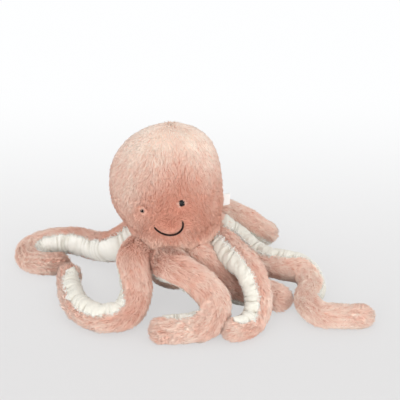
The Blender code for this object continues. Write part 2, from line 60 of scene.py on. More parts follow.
ARM_COUNT = 8
ROOT_RING_RADIUS = 62 * MM
ROOT_HEIGHT = 61 * MM
FIRST_ARM_TURN = -15.0
ARM_LENGTH = 300 * MM
ARM_ROOT_RADIUS = 22 * MM
ARM_TIP_RADIUS = 14 * MM
ARM_MEAN_RADIUS = 17.5 * MM
STRIP_HALF_ANGLE = 55.0
FLOOR_PRESS = 0.5 * MM
WAIST_INSET_SHARE = 0.72
WAIST_TOP_SHARE = 0.6
WAIST_RADIUS = ROOT_RING_RADIUS - WAIST_INSET_SHARE * ARM_ROOT_RADIUS
WAIST_BOTTOM = ROOT_HEIGHT - ARM_ROOT_RADIUS
WAIST_TOP = ROOT_HEIGHT + WAIST_TOP_SHARE * ARM_ROOT_RADIUS
CURVE_SAMPLES = 240

# Face and label
EYE_LINE_HEIGHT = 164.5 * MM
EYE_SPACING = 59 * MM
EYE_RADIUS = 5 * MM
EYE_CROWN = 4 * MM
EYE_SINK = 1 * MM
SHANK_RADIUS = 2 * MM
SHANK_LENGTH = 10 * MM
FACE_TILT = 12.0
FACE_TURN = -2.3
MOUTH_WIDTH = 44 * MM
MOUTH_DROP = 21.5 * MM
MOUTH_BELOW_EYES = 26 * MM
STITCH_RADIUS = 1.6 * MM
STITCH_THREADS = 74
LABEL_HEIGHT = 125 * MM
LABEL_TURN = 98.0
LABEL_POINTING = 112.0
LABEL_WIDTH = 20 * MM
LABEL_REACH = 15 * MM
LABEL_FOLD = 0.75 * MM
LABEL_WALL = 0.3 * MM

# Sums of sine waves, which stand in for noise
WAVE_COUNT = 9
WAVE_SUM_SPAN = 3.6

# Fur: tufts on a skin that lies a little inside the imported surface
HEAD_ROWS = 110
HEAD_COLUMNS = 64
ARM_ROW_STEP = 3 * MM
ARM_COLUMNS = 32
SKIN_INSET = 1.5 * MM
ARM_SKIN_INSET = 0.6 * MM
SKIN_WINDOW = (0.0, 0.0, 1.0, 0.07)
TUFT_WINDOW = (0.0, 0.08, 1.0, 1.0)
HEAD_TUFTS = 21000
HEAD_TUFT_LENGTH = 11.0 * MM
HEAD_TUFT_WIDTH = 1.45 * MM
ARM_TUFT_AREA = 1.75 * MM * MM
TUFT_LENGTH = 11.5 * MM
TUFT_WIDTH = 1.65 * MM
TUFT_SINK = 0.4 * MM
TUFT_STAND = 34.0
TUFT_DROOP = 0.35
TUFT_TAPER = 0.35
LOCK_WIDTH = 7.0 * MM
LOCK_STRETCH_SHARE = 0.38
LOCK_GIRTH = 18 * MM
WHORL_HEIGHT = 229 * MM
CHIN_FILL = 9.0 * MM
CHIN_HEIGHT = 88 * MM
LASHES = 240
EYE_OPENINGS = {-1.0: (3.1 * MM, 1.9 * MM), 1.0: (3.9 * MM, 9.0 * MM)}  # half width and height by side

# Fuller pile: in the creases where the arms are sewn on, and along some arms past them
ROOT_FILL = 5.0 * MM
ROOT_FILL_REACH = 34 * MM
PLUMP = {"front": 2.5 * MM, "front_right": 2.5 * MM}
PLUMP_RISE = (50 * MM, 110 * MM)

# Ruched strips
PUCKER_PITCH = 14.5 * MM
PUCKER_DEPTH = 4.6 * MM
GATHER_DEPTH = 1.8 * MM
STRIP_BED = 5.5 * MM
STRIP_RISE = 1.7 * MM
STRIP_CROWN = 3.0 * MM
STRIP_CLOTH = 1.2 * MM
STRIP_STEP = 0.9 * MM
STRIP_COLUMNS = 26
FRINGE_COLUMNS = (3, 5, -4, -6)

# How far towards salmon the arms' fur goes, paler on the rear arms as painted light against the head's
# shade, and how much whiter some strips are painted, as painted light on strips in shade
FUR_TONE = 0.34
FUR_TONES_AND_LIGHT = {
    "left": 0.44, "front_left": 0.36, "right": 0.36, "right_rear": 0.20, "rear": 0.20, "front": 0.27}
# painted light on the strips of the left and front arms, which lie in shade
STRIP_PAINTED_LIGHT = {"left": 0.7, "front": 0.2}

# Soft spots of deeper or paler fur on the face, some of them painted light and shade:
# across and above from between the eyes in mm, the squash of both, the reach in mm and how much deeper.
FACE_TONES_AND_SHADING = (
    (3, -17, 1.0, 0.9, 32, 0.42),   # muzzle
    (12, 26, 1.0, 0.7, 30, 0.28),   # brow
    # right cheek and right temple: painted shade on the head's right side
    (50, -2, 1.0, 0.6, 26, 0.24),   # right cheek
    (46, 58, 1.0, 0.8, 34, 0.14),   # right temple
    # left cheek and chin: painted light, on the head's left side and on the chin in the shade under the head
    (-62, 0, 1.0, 0.5, 34, -0.28),  # left cheek
    (0, -62, 0.6, 1.0, 26, -0.224),  # chin
)

# The white sweep, the camera as in the photograph, and the soft boxes: place,
# target, size and power, the last one small, to show in the beads
SWEEP_REACH = 1.6
SWEEP_RADIUS = 1.2
SWEEP_SIZE = 6.0
CAMERA_PLACE = (0.033, -1.4722, 0.9817)
CAMERA_TILT = 60.0
CAMERA_HALF_ANGLE = 10.01
LAMPS = {
    "key": ((-0.8, -1.6, 1.0), (0.0, 0.0, 0.10), 0.9, 7.8),
    "fill": ((0.3, -2.0, 0.40), (0.0, 0.0, 0.08), 1.2, 7.8),
    "side": ((1.6, -1.0, 0.7), (0.1, 0.05, 0.05), 1.0, 6.3),
    "top": ((0.2, -0.3, 1.8), (0.0, 0.0, 0.1), 1.2, 1.2),
    "catch": ((0.65, -1.85, 0.40), (0.0, 0.0, 0.16), 0.12, 1.2),
}

# Routes of the arms: x and y from the root as shares of ARM_LENGTH, height
# above lying flat as a share of ROOT_HEIGHT, and the side the strip faces.
ARM_ROUTE_SHARES = {
    "front": (
        (0.05, -0.12, 0.86, 10), (0.155, -0.18, 0.7, 15), (0.23, -0.24, 0.38, 10), (0.22, -0.31, 0.12, -10),
        (0.15, -0.345, 0.02, -45), (0.05, -0.355, 0, -60), (-0.055, -0.36, 0, -60),
    ),
    "front_right": (
        (0.08, -0.06, 0.36, -20), (0.2, -0.07, 0.06, -30), (0.31, -0.075, 0, -30), (0.39, -0.115, 0, -30),
        (0.43, -0.145, 0, -30),
    ),
    "right": (
        (0.08, -0.14, 0.82, -100), (0.155, -0.27, 0.78, -105), (0.19, -0.36, 0.37, -110),
        (0.17, -0.43, 0.04, -115), (0.11, -0.485, 0, -125), (0.03, -0.505, 0, -125),
    ),
    "right_rear": (
        (0.11, -0.02, 0.36, 150), (0.23, -0.13, 0.2, 165), (0.35, -0.18, 0.2, 165), (0.45, -0.22, 0.18, 125),
        (0.49, -0.32, 0.07, 95), (0.46, -0.43, 0.02, 90), (0.51, -0.53, 0, 88), (0.63, -0.55, 0, 85),
        (0.755, -0.54, 0, 85),
    ),
    "rear": (
        (0.085, 0.052, 0.74, -35), (0.19, 0.042, 0.76, -45), (0.295, 0, 0.67, -45), (0.37, -0.02, 0.48, -45),
        (0.405, 0.025, 0.27, -45), (0.39, 0.1, 0.07, -45), (0.34, 0.17, 0, -45),
    ),
    "left_rear": (
        (-0.05, 0.1, 0.5, -20), (-0.06, 0.2, 0.12, -40), (0.01, 0.29, 0, -70), (0.11, 0.31, 0, -80),
        (0.18, 0.24, 0, -80), (0.18, 0.14, 0, -80),
    ),
    "left": (
        (-0.13, -0.01, 0.36, 95), (-0.24, 0.08, 0.11, 110), (-0.37, 0.15, 0.06, 115),
        (-0.48, 0.155, 0.02, 115), (-0.56, 0.125, 0, 105), (-0.597, 0.06, 0, 90), (-0.565, -0.01, 0, 90),
        (-0.48, -0.035, 0, 90), (-0.385, -0.02, 0, 90),
    ),
    "front_left": (
        (-0.04, -0.12, 0.78, -30), (-0.02, -0.25, 0.34, -65), (-0.06, -0.345, 0.06, -110),
        (-0.17, -0.375, 0.02, -145), (-0.28, -0.31, 0.02, -145), (-0.34, -0.2, 0.03, -132),
        (-0.37, -0.08, 0.07, -125), (-0.375, 0.025, 0.16, -120),
    ),
}


# Small formulas

def join(*parts):
    """Arrays, broadcast to one shape, as the components of vectors."""
    return np.stack(np.broadcast_arrays(*parts), axis=-1)


def pick(kept, *parts):
    """The kept rows of several arrays."""
    return (part[kept] for part in parts)


def distance(offsets):
    """Lengths of vectors."""
    return np.linalg.norm(offsets, axis=-1)


def unit(vectors):
    """Vectors divided by their own length."""
    return vectors / np.maximum(distance(vectors), 1e-12)[..., None]


def running(steps):
    """Sums of the steps from 0 up to each point."""
    return np.concatenate([[0.0], np.cumsum(steps)])


def ease(value, low, high):
    """0 below low, 1 above high, and 3t^2 - 2t^3 between."""
    share = np.clip((value - low) / (high - low), 0.0, 1.0)
    return share * share * (3.0 - 2.0 * share)


def spot(offset, reach):
    """1 at the middle of a soft round spot, falling as exp(-(distance / reach)^2)."""
    return np.exp(-(np.asarray(offset) / reach) ** 2)


def crease(phase, power):
    """1 in a crease at every whole phase and 0 between: 1 - |sin(pi * phase)|^power."""
    return 1.0 - np.abs(np.sin(math.pi * phase)) ** power


def spread(count, seed):
    """Evenly spread pairs from 0 to 1: multiples of the two plastic-number fractions, wrapped."""
    steps = np.arange(1, count + 1)
    return np.mod(seed + steps * 0.7548776662, 1.0), np.mod(seed + steps * 0.5698402910, 1.0)


def waves(points, wavelength, seed):
    """Smooth value from about -1 to 1: a sum of sine waves in scattered directions."""
    chance = np.random.default_rng(seed)
    directions = unit(chance.normal(size=(WAVE_COUNT, 3)))
    lengths = wavelength * chance.uniform(0.7, 1.5, WAVE_COUNT)
    phases = chance.uniform(0.0, TAU, WAVE_COUNT)
    angles = points @ (directions / lengths[:, None] * TAU).T + phases
    return np.sin(angles).sum(axis=-1) / WAVE_SUM_SPAN


def wave_vector(points, wavelength, seed):
    """Three independent wave sums as one vector."""
    return join(*(waves(points, wavelength, seed + axis) for axis in range(3)))


# Meshes

class Shape:
    """One piece's points, faces, face-corner places on its texture, and values at its points."""

    def __init__(self):
        self.points, self.faces, self.places, self.values, self.count = [], [], [], [], 0

    def add(self, points, sides, **values):
        """Add points, the (faces, places) pairs of their sides, and values; a face has 3 or 4 corners."""
        points = np.reshape(points, (-1, 3))
        for faces, places in sides:
            self.faces.append(faces.reshape(-1, faces.shape[-1]) + self.count)
            self.places.append(places.reshape(-1, 2))
        self.points.append(points)
        self.values.append(values)
        self.count += len(points)

    def mesh(self, name):
        """The Blender mesh: texture places in OFBake, and one attribute per value, 0 where not given."""
        sizes = np.concatenate([np.full(len(faces), faces.shape[1]) for faces in self.faces])
        corners = np.concatenate([faces.ravel() for faces in self.faces])
        mesh = bpy.data.meshes.new(name)
        mesh.vertices.add(self.count)
        mesh.vertices.foreach_set("co", np.concatenate(self.points).ravel())
        mesh.loops.add(len(corners))
        mesh.loops.foreach_set("vertex_index", corners.astype(np.int32))
        mesh.polygons.add(len(sizes))
        mesh.polygons.foreach_set("loop_start", running(sizes[:-1]).astype(np.int32))
        mesh.update(calc_edges=True)
        mesh.uv_layers.new(name="OFBake").data.foreach_set("uv", np.concatenate(self.places).ravel())
        for label in dict.fromkeys(label for values in self.values for label in values):
            value = np.concatenate([
                np.broadcast_to(values.get(label, 0.0), len(points))
                for values, points in zip(self.values, self.points)])
            mesh.attributes.new(label, "FLOAT", "POINT").data.foreach_set("value", value.astype(np.float32))
        mesh.polygons.foreach_set("use_smooth", np.ones(len(sizes), dtype=bool))
        mesh.update()
        return mesh


def face_places(window, *spots):
    """Texture places of faces: a (u, v) pair for each corner, from 0 to 1 within a window."""
    low_u, low_v, high_u, high_v = window
    return np.stack([
        join(low_u + (high_u - low_u) * u, low_v + (high_v - low_v) * v) for u, v in spots], axis=-2)


def flipped(faces, places):
    """Faces turned over."""
    return faces[:, ::-1], places[:, ::-1]


def grid_faces(rows, columns, window, wrap=False, first=0):
    """Quads over a grid of rows and columns, with their places in a window of the texture.

    A quad joins neighbours (i, j), (i, j+1), (i+1, j+1), (i+1, j); wrap closes each row.
    """
    across = columns if wrap else columns - 1
    i, j = np.arange(rows - 1)[:, None], np.arange(across)
    steps = ((0, 0), (0, 1), (1, 1), (1, 0))
    quads = first + join(*((i + s) * columns + (j + t) % columns for s, t in steps))
    places = face_places(window, *(((j + t) / across, (i + s) / (rows - 1)) for s, t in steps))
    return quads.reshape(-1, 4), places.reshape(-1, 4, 2)


def band_faces(near, far, window):
    """Quads between two rows of as many points."""
    share = np.linspace(0.0, 1.0, len(near))
    return join(near[:-1], far[:-1], far[1:], near[1:]), face_places(
        window, (share[:-1], 0.0), (share[:-1], 1.0), (share[1:], 1.0), (share[1:], 0.0))


def fan_faces(pole, ring, window):
    """Triangles from a pole point to a closed ring of points."""
    share, step = np.arange(len(ring)) / len(ring), 1.0 / len(ring)
    return join(pole, ring, np.roll(ring, -1)), face_places(
        window, (share + step / 2, 1.0), (share, 0.0), (share + step, 0.0))


def add_tube(shape, rings, poles, window, **values):
    """A closed solid of rings with a pole point at either end.

    Each ring turns anticlockwise as seen from the last pole, so that faces point outwards.
    """
    count, columns = rings.shape[:2]
    low_u, low_v, high_u, high_v = window
    rim = (high_v - low_v) * 0.04
    ring, last = np.arange(columns), count * columns
    shape.add(np.vstack([rings.reshape(-1, 3), poles]), [
        grid_faces(count, columns, (low_u, low_v + rim, high_u, high_v - rim), wrap=True),
        flipped(*fan_faces(last, ring, (low_u, low_v + rim, high_u, low_v))),
        fan_faces(last + 1, ring + last - columns, (low_u, high_v - rim, high_u, high_v)),
    ], **values)


def add_tufts(shape, roots, normals, lay, length, width, stand, tint, deep, window=TUFT_WINDOW, **values):
    """Curved spikes with three sides, the fur's tufts.

    With t from 0 at the root to 1 at the tip, the course is
    root + length * (t * cos(stand) * lay + (t - droop * t^2) * sin(stand) * normal),
    and the triangle round it shrinks as 1 - taper * t up to its middle, then to a point.
    """
    count = len(roots)
    lay = unit(lay - normals * (lay * normals).sum(axis=1)[:, None])
    level, rise = (length * np.cos(stand))[:, None] * lay, (length * np.sin(stand))[:, None] * normals
    share = np.array([0.0, 0.5, 1.0])[:, None]
    course = roots[:, None] + share * level[:, None] + (share - TUFT_DROOP * share ** 2) * rise[:, None]
    along = unit(course[:, 2] - course[:, 0])
    side = unit(np.cross(normals, along))
    up = np.cross(along, side)
    angle = np.radians([-150.0, -30.0, 90.0])[:, None]
    spokes = np.cos(angle) * side[:, None] + np.sin(angle) * up[:, None]
    girth = width[:, None, None, None] / 2 * (1.0 - TUFT_TAPER * share[:2, None])
    rings = course[:, :2, None] + girth * spokes[:, None]
    points = np.concatenate([rings.reshape(count, 6, 3), course[:, 2:]], axis=1)

    first = np.arange(count)[:, None, None] * 7
    j = np.arange(3)
    after = (j + 1) % 3
    quads, tips = first + join(j, after, after + 3, j + 3), first + join(j + 3, after + 3, 6)
    columns = math.ceil(math.sqrt(count))
    cell = join(np.arange(count) % columns, np.arange(count) // columns)[:, None, None]
    spots = (j / 3, 0.0), ((j + 1) / 3, 0.0), ((j + 1) / 3, 0.5), (j / 3, 0.5)
    tip_spots = (j / 3, 0.5), ((j + 1) / 3, 0.5), ((j + 0.5) / 3, 1.0)
    low, extent = np.array(window[:2]), np.subtract(window[2:], window[:2])
    places = (
        low + (cell + face_places((0.0, 0.0, 0.9, 0.9), *pairs)) / columns * extent
        for pairs in (spots, tip_spots))
    shape.add(
        np.maximum(points, LOWEST), zip((quads, tips), places),
        reach=np.tile([0.0, 0.0, 0.0, 0.5, 0.5, 0.5, 1.0], count),
        tint=np.repeat(tint, 7), deep=np.repeat(deep, 7), **values)


def tuft_widths(mean, count, chance):
    """Uneven widths about a mean."""
    return mean * (1.0 + 0.2 * chance.normal(size=count)).clip(0.5, 1.6)


def put(name, data):
    """A new object at the origin."""
    obj = bpy.data.objects.new(name, data)
    bpy.context.collection.objects.link(obj)
    return obj


def add_piece(name, shape, finish, body, replaced):
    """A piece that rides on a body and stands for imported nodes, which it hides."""
    obj = put(name, shape.mesh(name))
    obj.data.materials.append(finish)
    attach(obj, body)
    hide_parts(*replaced)


# The body bag

def bag_outline():
    """(height, radius) of the bag's surface, finely from the base to the crown.

    The foot is a quarter ellipse, the waist a short cylinder, the swell above
    it a quarter sine wave, and the dome a quarter superellipse.
    """
    turn = np.linspace(0.0, QUARTER, 12, endpoint=False)
    foot = join(
        WAIST_BOTTOM * (1.0 - np.cos(turn)),
        BASE_RADIUS + (WAIST_RADIUS - BASE_RADIUS) * np.sin(turn))
    waist = join(np.linspace(WAIST_BOTTOM, WAIST_TOP, 8), WAIST_RADIUS)
    share = np.linspace(0.0, 1.0, 41)[1:]
    swell = join(
        WAIST_TOP + share * (WIDEST_HEIGHT - WAIST_TOP),
        WAIST_RADIUS + (HEAD_RADIUS - WAIST_RADIUS) * np.sin(QUARTER * share ** SWELL_EXPONENT))
    turn = np.linspace(0.0, QUARTER, 61)[1:]
    dome = join(
        WIDEST_HEIGHT + (BODY_HEIGHT - WIDEST_HEIGHT) * np.sin(turn) ** (2.0 / DOME_EXPONENT),
        HEAD_RADIUS * np.maximum(np.cos(turn), 0.0) ** (2.0 / DOME_EXPONENT))
    dome[-1] = (BODY_HEIGHT, 0.0)
    return np.vstack([foot, waist, swell, dome])


OUTLINE = bag_outline()
OUTLINE_RUN = running(distance(np.diff(OUTLINE, axis=0)))


def outline_run(height):
    """Distance along the bag's outline at a height."""
    return np.interp(height, OUTLINE[:, 0], OUTLINE_RUN)


def lean(height):
    """How far the bag's middle line stands towards -X at a height."""
    share = np.clip((height - WAIST_TOP) / (BODY_HEIGHT - WAIST_TOP), 0.0, 1.0)
    return -HEAD_LEAN * np.sin(math.pi * share * LEAN_TURN_SHARE)


def bag(run, turn):
    """Points of the bag at distances along its outline and turns about it; 0 is the front."""
    height, radius = (np.interp(run, OUTLINE_RUN, part) for part in OUTLINE.T)
    return join(lean(height) + radius * np.sin(turn), -radius * np.cos(turn), height)


def bag_axes(run, turn):
    """Outward, upward and sideways unit vectors of the bag's surface."""
    step = 1.5 * MM
    run = np.clip(run, step, OUTLINE_RUN[-1] - 2 * step)
    up = unit(bag(run + step, turn) - bag(run - step, turn))
    across = unit(bag(run, turn + 0.02) - bag(run, turn - 0.02))
    return unit(np.cross(across, up)), up, across


def face_spot(across, above):
    """Outline run and turn of a point of the face, which is tilted and turned."""
    tilt = math.radians(FACE_TILT)
    height = EYE_LINE_HEIGHT + across * math.sin(tilt) + above * math.cos(tilt)
    level = across * math.cos(tilt) - above * math.sin(tilt)
    return outline_run(height), math.radians(FACE_TURN) + level / HEAD_RADIUS


def face_chart(points):
    """(across, above) on the face of points of the head, the other way round from face_spot."""
    tilt = math.radians(FACE_TILT)
    turn = np.arctan2(points[..., 0] - lean(points[..., 2]), -points[..., 1])
    level = (turn - math.radians(FACE_TURN)) * HEAD_RADIUS
    rise = points[..., 2] - EYE_LINE_HEIGHT
    return level * math.cos(tilt) + rise * math.sin(tilt), rise * math.cos(tilt) - level * math.sin(tilt)


def eye_place(side):
    """The point of the bag where an eye sits; side is -1 for the left one and 1 for the right."""
    return bag(*face_spot(side * EYE_SPACING / 2, 0.0))


def mouth_line(count):
    """Outline runs and turns along the smile: half an ellipse, turned with the face."""
    turn = np.linspace(-QUARTER, QUARTER, count)
    return face_spot(MOUTH_WIDTH / 2 * np.sin(turn), -MOUTH_BELOW_EYES - MOUTH_DROP * np.cos(turn))


def locks(flat, aside, seed):
    """Locks of fur: wave sums over stretched places, and how steeply they rise to one side."""
    height = waves(flat, LOCK_WIDTH, seed)
    return height, waves(flat + aside, LOCK_WIDTH, seed) - waves(flat - aside, LOCK_WIDTH, seed)


def face_tone_and_shading(points):
    """How far towards salmon the head's fur goes, with painted shade and light: deeper downwards as painted
    shade, paler on top and at the crown as a painted highlight, paler at the chin as painted light against
    the shade under the head, with the face's soft spots in front.
    """
    across, above = (chart / MM for chart in face_chart(points))
    height = points[..., 2]
    deep = sum(
        depth * spot(np.hypot((across - x) * wide, (above - y) * high), reach)
        for x, y, wide, high, reach, depth in FACE_TONES_AND_SHADING)
    # Painted shade: deeper downwards. Painted light: paler again at the chin, where the head's shade falls,
    # and a painted highlight at the crown.
    low = ease(height, 255 * MM, 118 * MM) - 0.95 * ease(height, 112 * MM, 84 * MM)
    front = ease(-points[..., 1], 0.0, 45 * MM)
    return 0.19 + 0.61 * low - 0.26 * spot(height - BODY_HEIGHT, 24 * MM) + front * deep


def chin_fill(points):
    """How far the fur's skin stands out over the arms' roots, where the pile is thickest."""
    return CHIN_FILL * spot(points[..., 2] - CHIN_HEIGHT, 17 * MM)


def head_roots(middle, seed):
    """Where a panel's tufts stand, with the outward, upward and sideways directions there.

    They are spread evenly by area, but for the bag's underside and the arms' root balls.
    """
    first, second = spread(HEAD_TUFTS, seed)
    radius = OUTLINE[:, 1]
    area = running((radius[1:] + radius[:-1]) / 2 * np.diff(OUTLINE_RUN))
    run, turn = np.interp(first * area[-1], area, OUTLINE_RUN), middle + (second - 0.5) * math.pi
    surface = bag(run, turn)
    keep = surface[:, 2] > 3 * MM
    for root in root_points():
        keep &= distance(surface - root) > ARM_ROOT_RADIUS - 2 * MM
    surface, out, up, across = pick(keep, surface, *bag_axes(run, turn))
    return surface + chin_fill(surface)[:, None] * out, out, up, across


def comb_face(surface, lay, length):
    """Lay and length of the tufts on the face.

    They fan up from the muzzle and out from the eyes and the smile, are
    shorter there, and have no length under the beads.
    """
    offset = surface - bag(*face_spot(0.5 * MM, -MOUTH_BELOW_EYES - 0.75 * MOUTH_DROP))
    apart = distance(offset)
    pull = (1.15 * spot(apart, 42 * MM) * ease(offset[:, 2], -16 * MM, 6 * MM))[:, None]
    lay = lay * (1.0 - 0.55 * np.minimum(pull, 1.0)) + pull * unit(offset)
    length = length * (1.0 - 0.22 * spot(apart, 34 * MM))
    for side in EYE_OPENINGS:
        offset = surface - eye_place(side)
        apart = distance(offset)
        lay += (2.8 * spot(apart, 12 * MM))[:, None] * unit(offset)
        length *= 0.45 + 0.55 * ease(apart, 6 * MM, 16 * MM)
        length[apart < EYE_RADIUS] = 0.0
    line = bag(*mouth_line(60))[3:-6]
    apart = distance(surface[:, None] - line)
    nearest = surface - line[apart.argmin(axis=1)]
    apart = apart.min(axis=1)
    lay += spot(apart, 4 * MM)[:, None] * unit(nearest)
    return lay, length * (0.4 + 0.6 * ease(apart, 0.6 * MM, 4.5 * MM))


def head_fur(middle, seed):
    """One fur panel of the bag: a closed half bag with tufts on its round side.

    The half bag is bag(run, turn) moved in by the skin's inset, for turns
    within a quarter of its middle. Tufts lie down the bag, away from a whorl
    behind the crown, and a few are darker, as painted shadow lines in the pile.
    """
    shape = Shape()
    run = np.linspace(0.0, OUTLINE_RUN[-1] - 1.2 * MM, HEAD_ROWS)[:, None]
    turn = middle + np.linspace(-QUARTER, QUARTER, HEAD_COLUMNS)
    rings = bag(run, turn)
    rings += (chin_fill(rings) - SKIN_INSET)[..., None] * bag_axes(run, turn)[0]
    rings = np.maximum(rings, LOWEST)
    poles = np.array([[0.0, 0.0, 0.0], [lean(BODY_HEIGHT), 0.0, BODY_HEIGHT - SKIN_INSET]])
    deep = np.concatenate([face_tone_and_shading(rings).ravel(), [0.5, 0.1]])
    add_tube(shape, rings, poles, SKIN_WINDOW, reach=0.25, tint=0.0, deep=deep)

    surface, out, up, across = head_roots(middle, seed)
    chance = np.random.default_rng(int(seed * 1000))
    size = len(surface)
    lift, pull = locks(surface * (1.0, 1.0, LOCK_STRETCH_SHARE), across * MM, 61)
    whorl = bag(outline_run(WHORL_HEIGHT), math.pi)
    crown = spot(distance(surface - (lean(BODY_HEIGHT), 0.0, BODY_HEIGHT)), 62 * MM)[:, None]
    lay = crown * unit(surface - whorl) - (1.0 - crown) * up
    rough = 0.4 + 0.6 * ease(face_tone_and_shading(surface), 0.15, 0.7)[:, None]
    lay += 0.26 * wave_vector(surface, 36 * MM, 5) + 0.16 * rough * wave_vector(surface, 11 * MM, 25)
    lay += 0.22 * rough * chance.normal(size=(size, 3)) + 0.10 * pull[:, None] * across
    length = 1.0 + 0.12 * waves(surface, 16 * MM, 3) + 0.14 * chance.normal(size=size)
    length *= HEAD_TUFT_LENGTH * (1.0 + 0.4 * spot(surface[:, 2] - 85 * MM, 22 * MM))
    parting = spot(distance(surface - whorl), 11 * MM)
    lay += 0.9 * parting[:, None] * chance.normal(size=(size, 3))
    flatter = 26.0 * np.minimum(1.3 * crown[:, 0], 1.0) - 16.0 * parting
    uneven = (2.5 * lift + 3.5 * chance.normal(size=size)) * (1.0 - flatter / 40.0)
    stand = np.radians(TUFT_STAND - flatter + uneven)
    if middle == 0.0:
        lay, length = comb_face(surface, lay, length)
    surface, out, lay, length, stand, lift = pick(length > 0.0, surface, out, lay, length, stand, lift)
    size = len(surface)
    width = tuft_widths(HEAD_TUFT_WIDTH, size, chance)
    # Painted shade: deeper in the hollows between locks, and a few tufts darker as painted shadow lines
    # between them.
    deep = face_tone_and_shading(surface) + 0.09 * waves(surface, 24 * MM, 41) - 0.07 * lift
    deep += 0.6 * (chance.random(size) < 0.02 + 0.10 * np.clip(deep - 0.3, 0.0, 1.0))
    for side in EYE_OPENINGS:
        deep -= 0.14 * spot(distance(surface - eye_place(side)), 9 * MM)
    add_tufts(
        shape, surface - out * (SKIN_INSET + TUFT_SINK), out, lay, length, width, stand,
        chance.uniform(-1.0, 1.0, size), deep)
    if middle == 0.0:
        for side, opening in EYE_OPENINGS.items():
            add_lashes(shape, side, opening, chance)
    return shape


def add_lashes(shape, side, opening, chance):
    """Tufts from round an eye that lie over its rim and leave an elliptical opening.

    At a turn w about the eye the opening reaches 1 / sqrt((cos w / a)^2 + (sin w / b)^2).
    """
    angle = np.arange(LASHES) * TAU / LASHES + chance.normal(size=LASHES) * 0.03
    apart = EYE_RADIUS + chance.uniform(0.2, 3.4, LASHES) * MM
    run, turn = face_spot(side * EYE_SPACING / 2 + apart * np.cos(angle), apart * np.sin(angle))
    out, roots = bag_axes(run, turn)[0], bag(run, turn)
    reach = 1.0 / np.hypot(np.cos(angle) / opening[0], np.sin(angle) / opening[1])
    lay = unit(eye_place(side) - roots) + 0.22 * chance.normal(size=(LASHES, 3))
    length = (apart - reach + 0.9 * MM * chance.normal(size=LASHES)) * 1.08
    roots = roots + out * chance.uniform(0.3, 2.0, LASHES)[:, None] * MM
    roots, out, lay, length = pick(length > 2.2 * MM, roots, out, lay, length)
    size = len(roots)
    stand = np.radians(26.0 + 7.0 * chance.normal(size=size))
    tint, deep = chance.uniform(-1.0, 1.0, size), chance.uniform(0.4, 0.95, size)
    add_tufts(shape, roots, out, lay, length, np.full(size, 0.8 * HEAD_TUFT_WIDTH), stand, tint, deep)


# The arms

def root_points():
    """Centres of the arms' root balls, in a ring about the waist."""
    turn = np.radians(FIRST_ARM_TURN + np.arange(ARM_COUNT) * 360.0 / ARM_COUNT)
    return join(ROOT_RING_RADIUS * np.sin(turn), -ROOT_RING_RADIUS * np.cos(turn), ROOT_HEIGHT)


def smooth_curve(points, samples):
    """Centripetal Catmull-Rom curve through points of any number of dimensions."""
    ends = np.vstack([2 * points[0] - points[1], points, 2 * points[-1] - points[-2]])
    knots = running(np.sqrt(distance(np.diff(ends[:, :3], axis=0))))
    place = np.linspace(knots[1], knots[-2], samples)
    first = np.clip(np.searchsorted(knots, place, side="right") - 1, 1, len(points) - 1)
    corners = [ends[first + shift] for shift in (-1, 0, 1, 2)]
    times = [knots[first + shift] for shift in (-1, 0, 1, 2)]

    def between(low, high, left, right):
        share = ((place - times[low]) / (times[high] - times[low]))[:, None]
        return left * (1.0 - share) + right * share

    lines = [between(index, index + 1, corners[index], corners[index + 1]) for index in range(3)]
    bends = [between(index, index + 2, lines[index], lines[index + 1]) for index in range(2)]
    return between(1, 2, bends[0], bends[1])


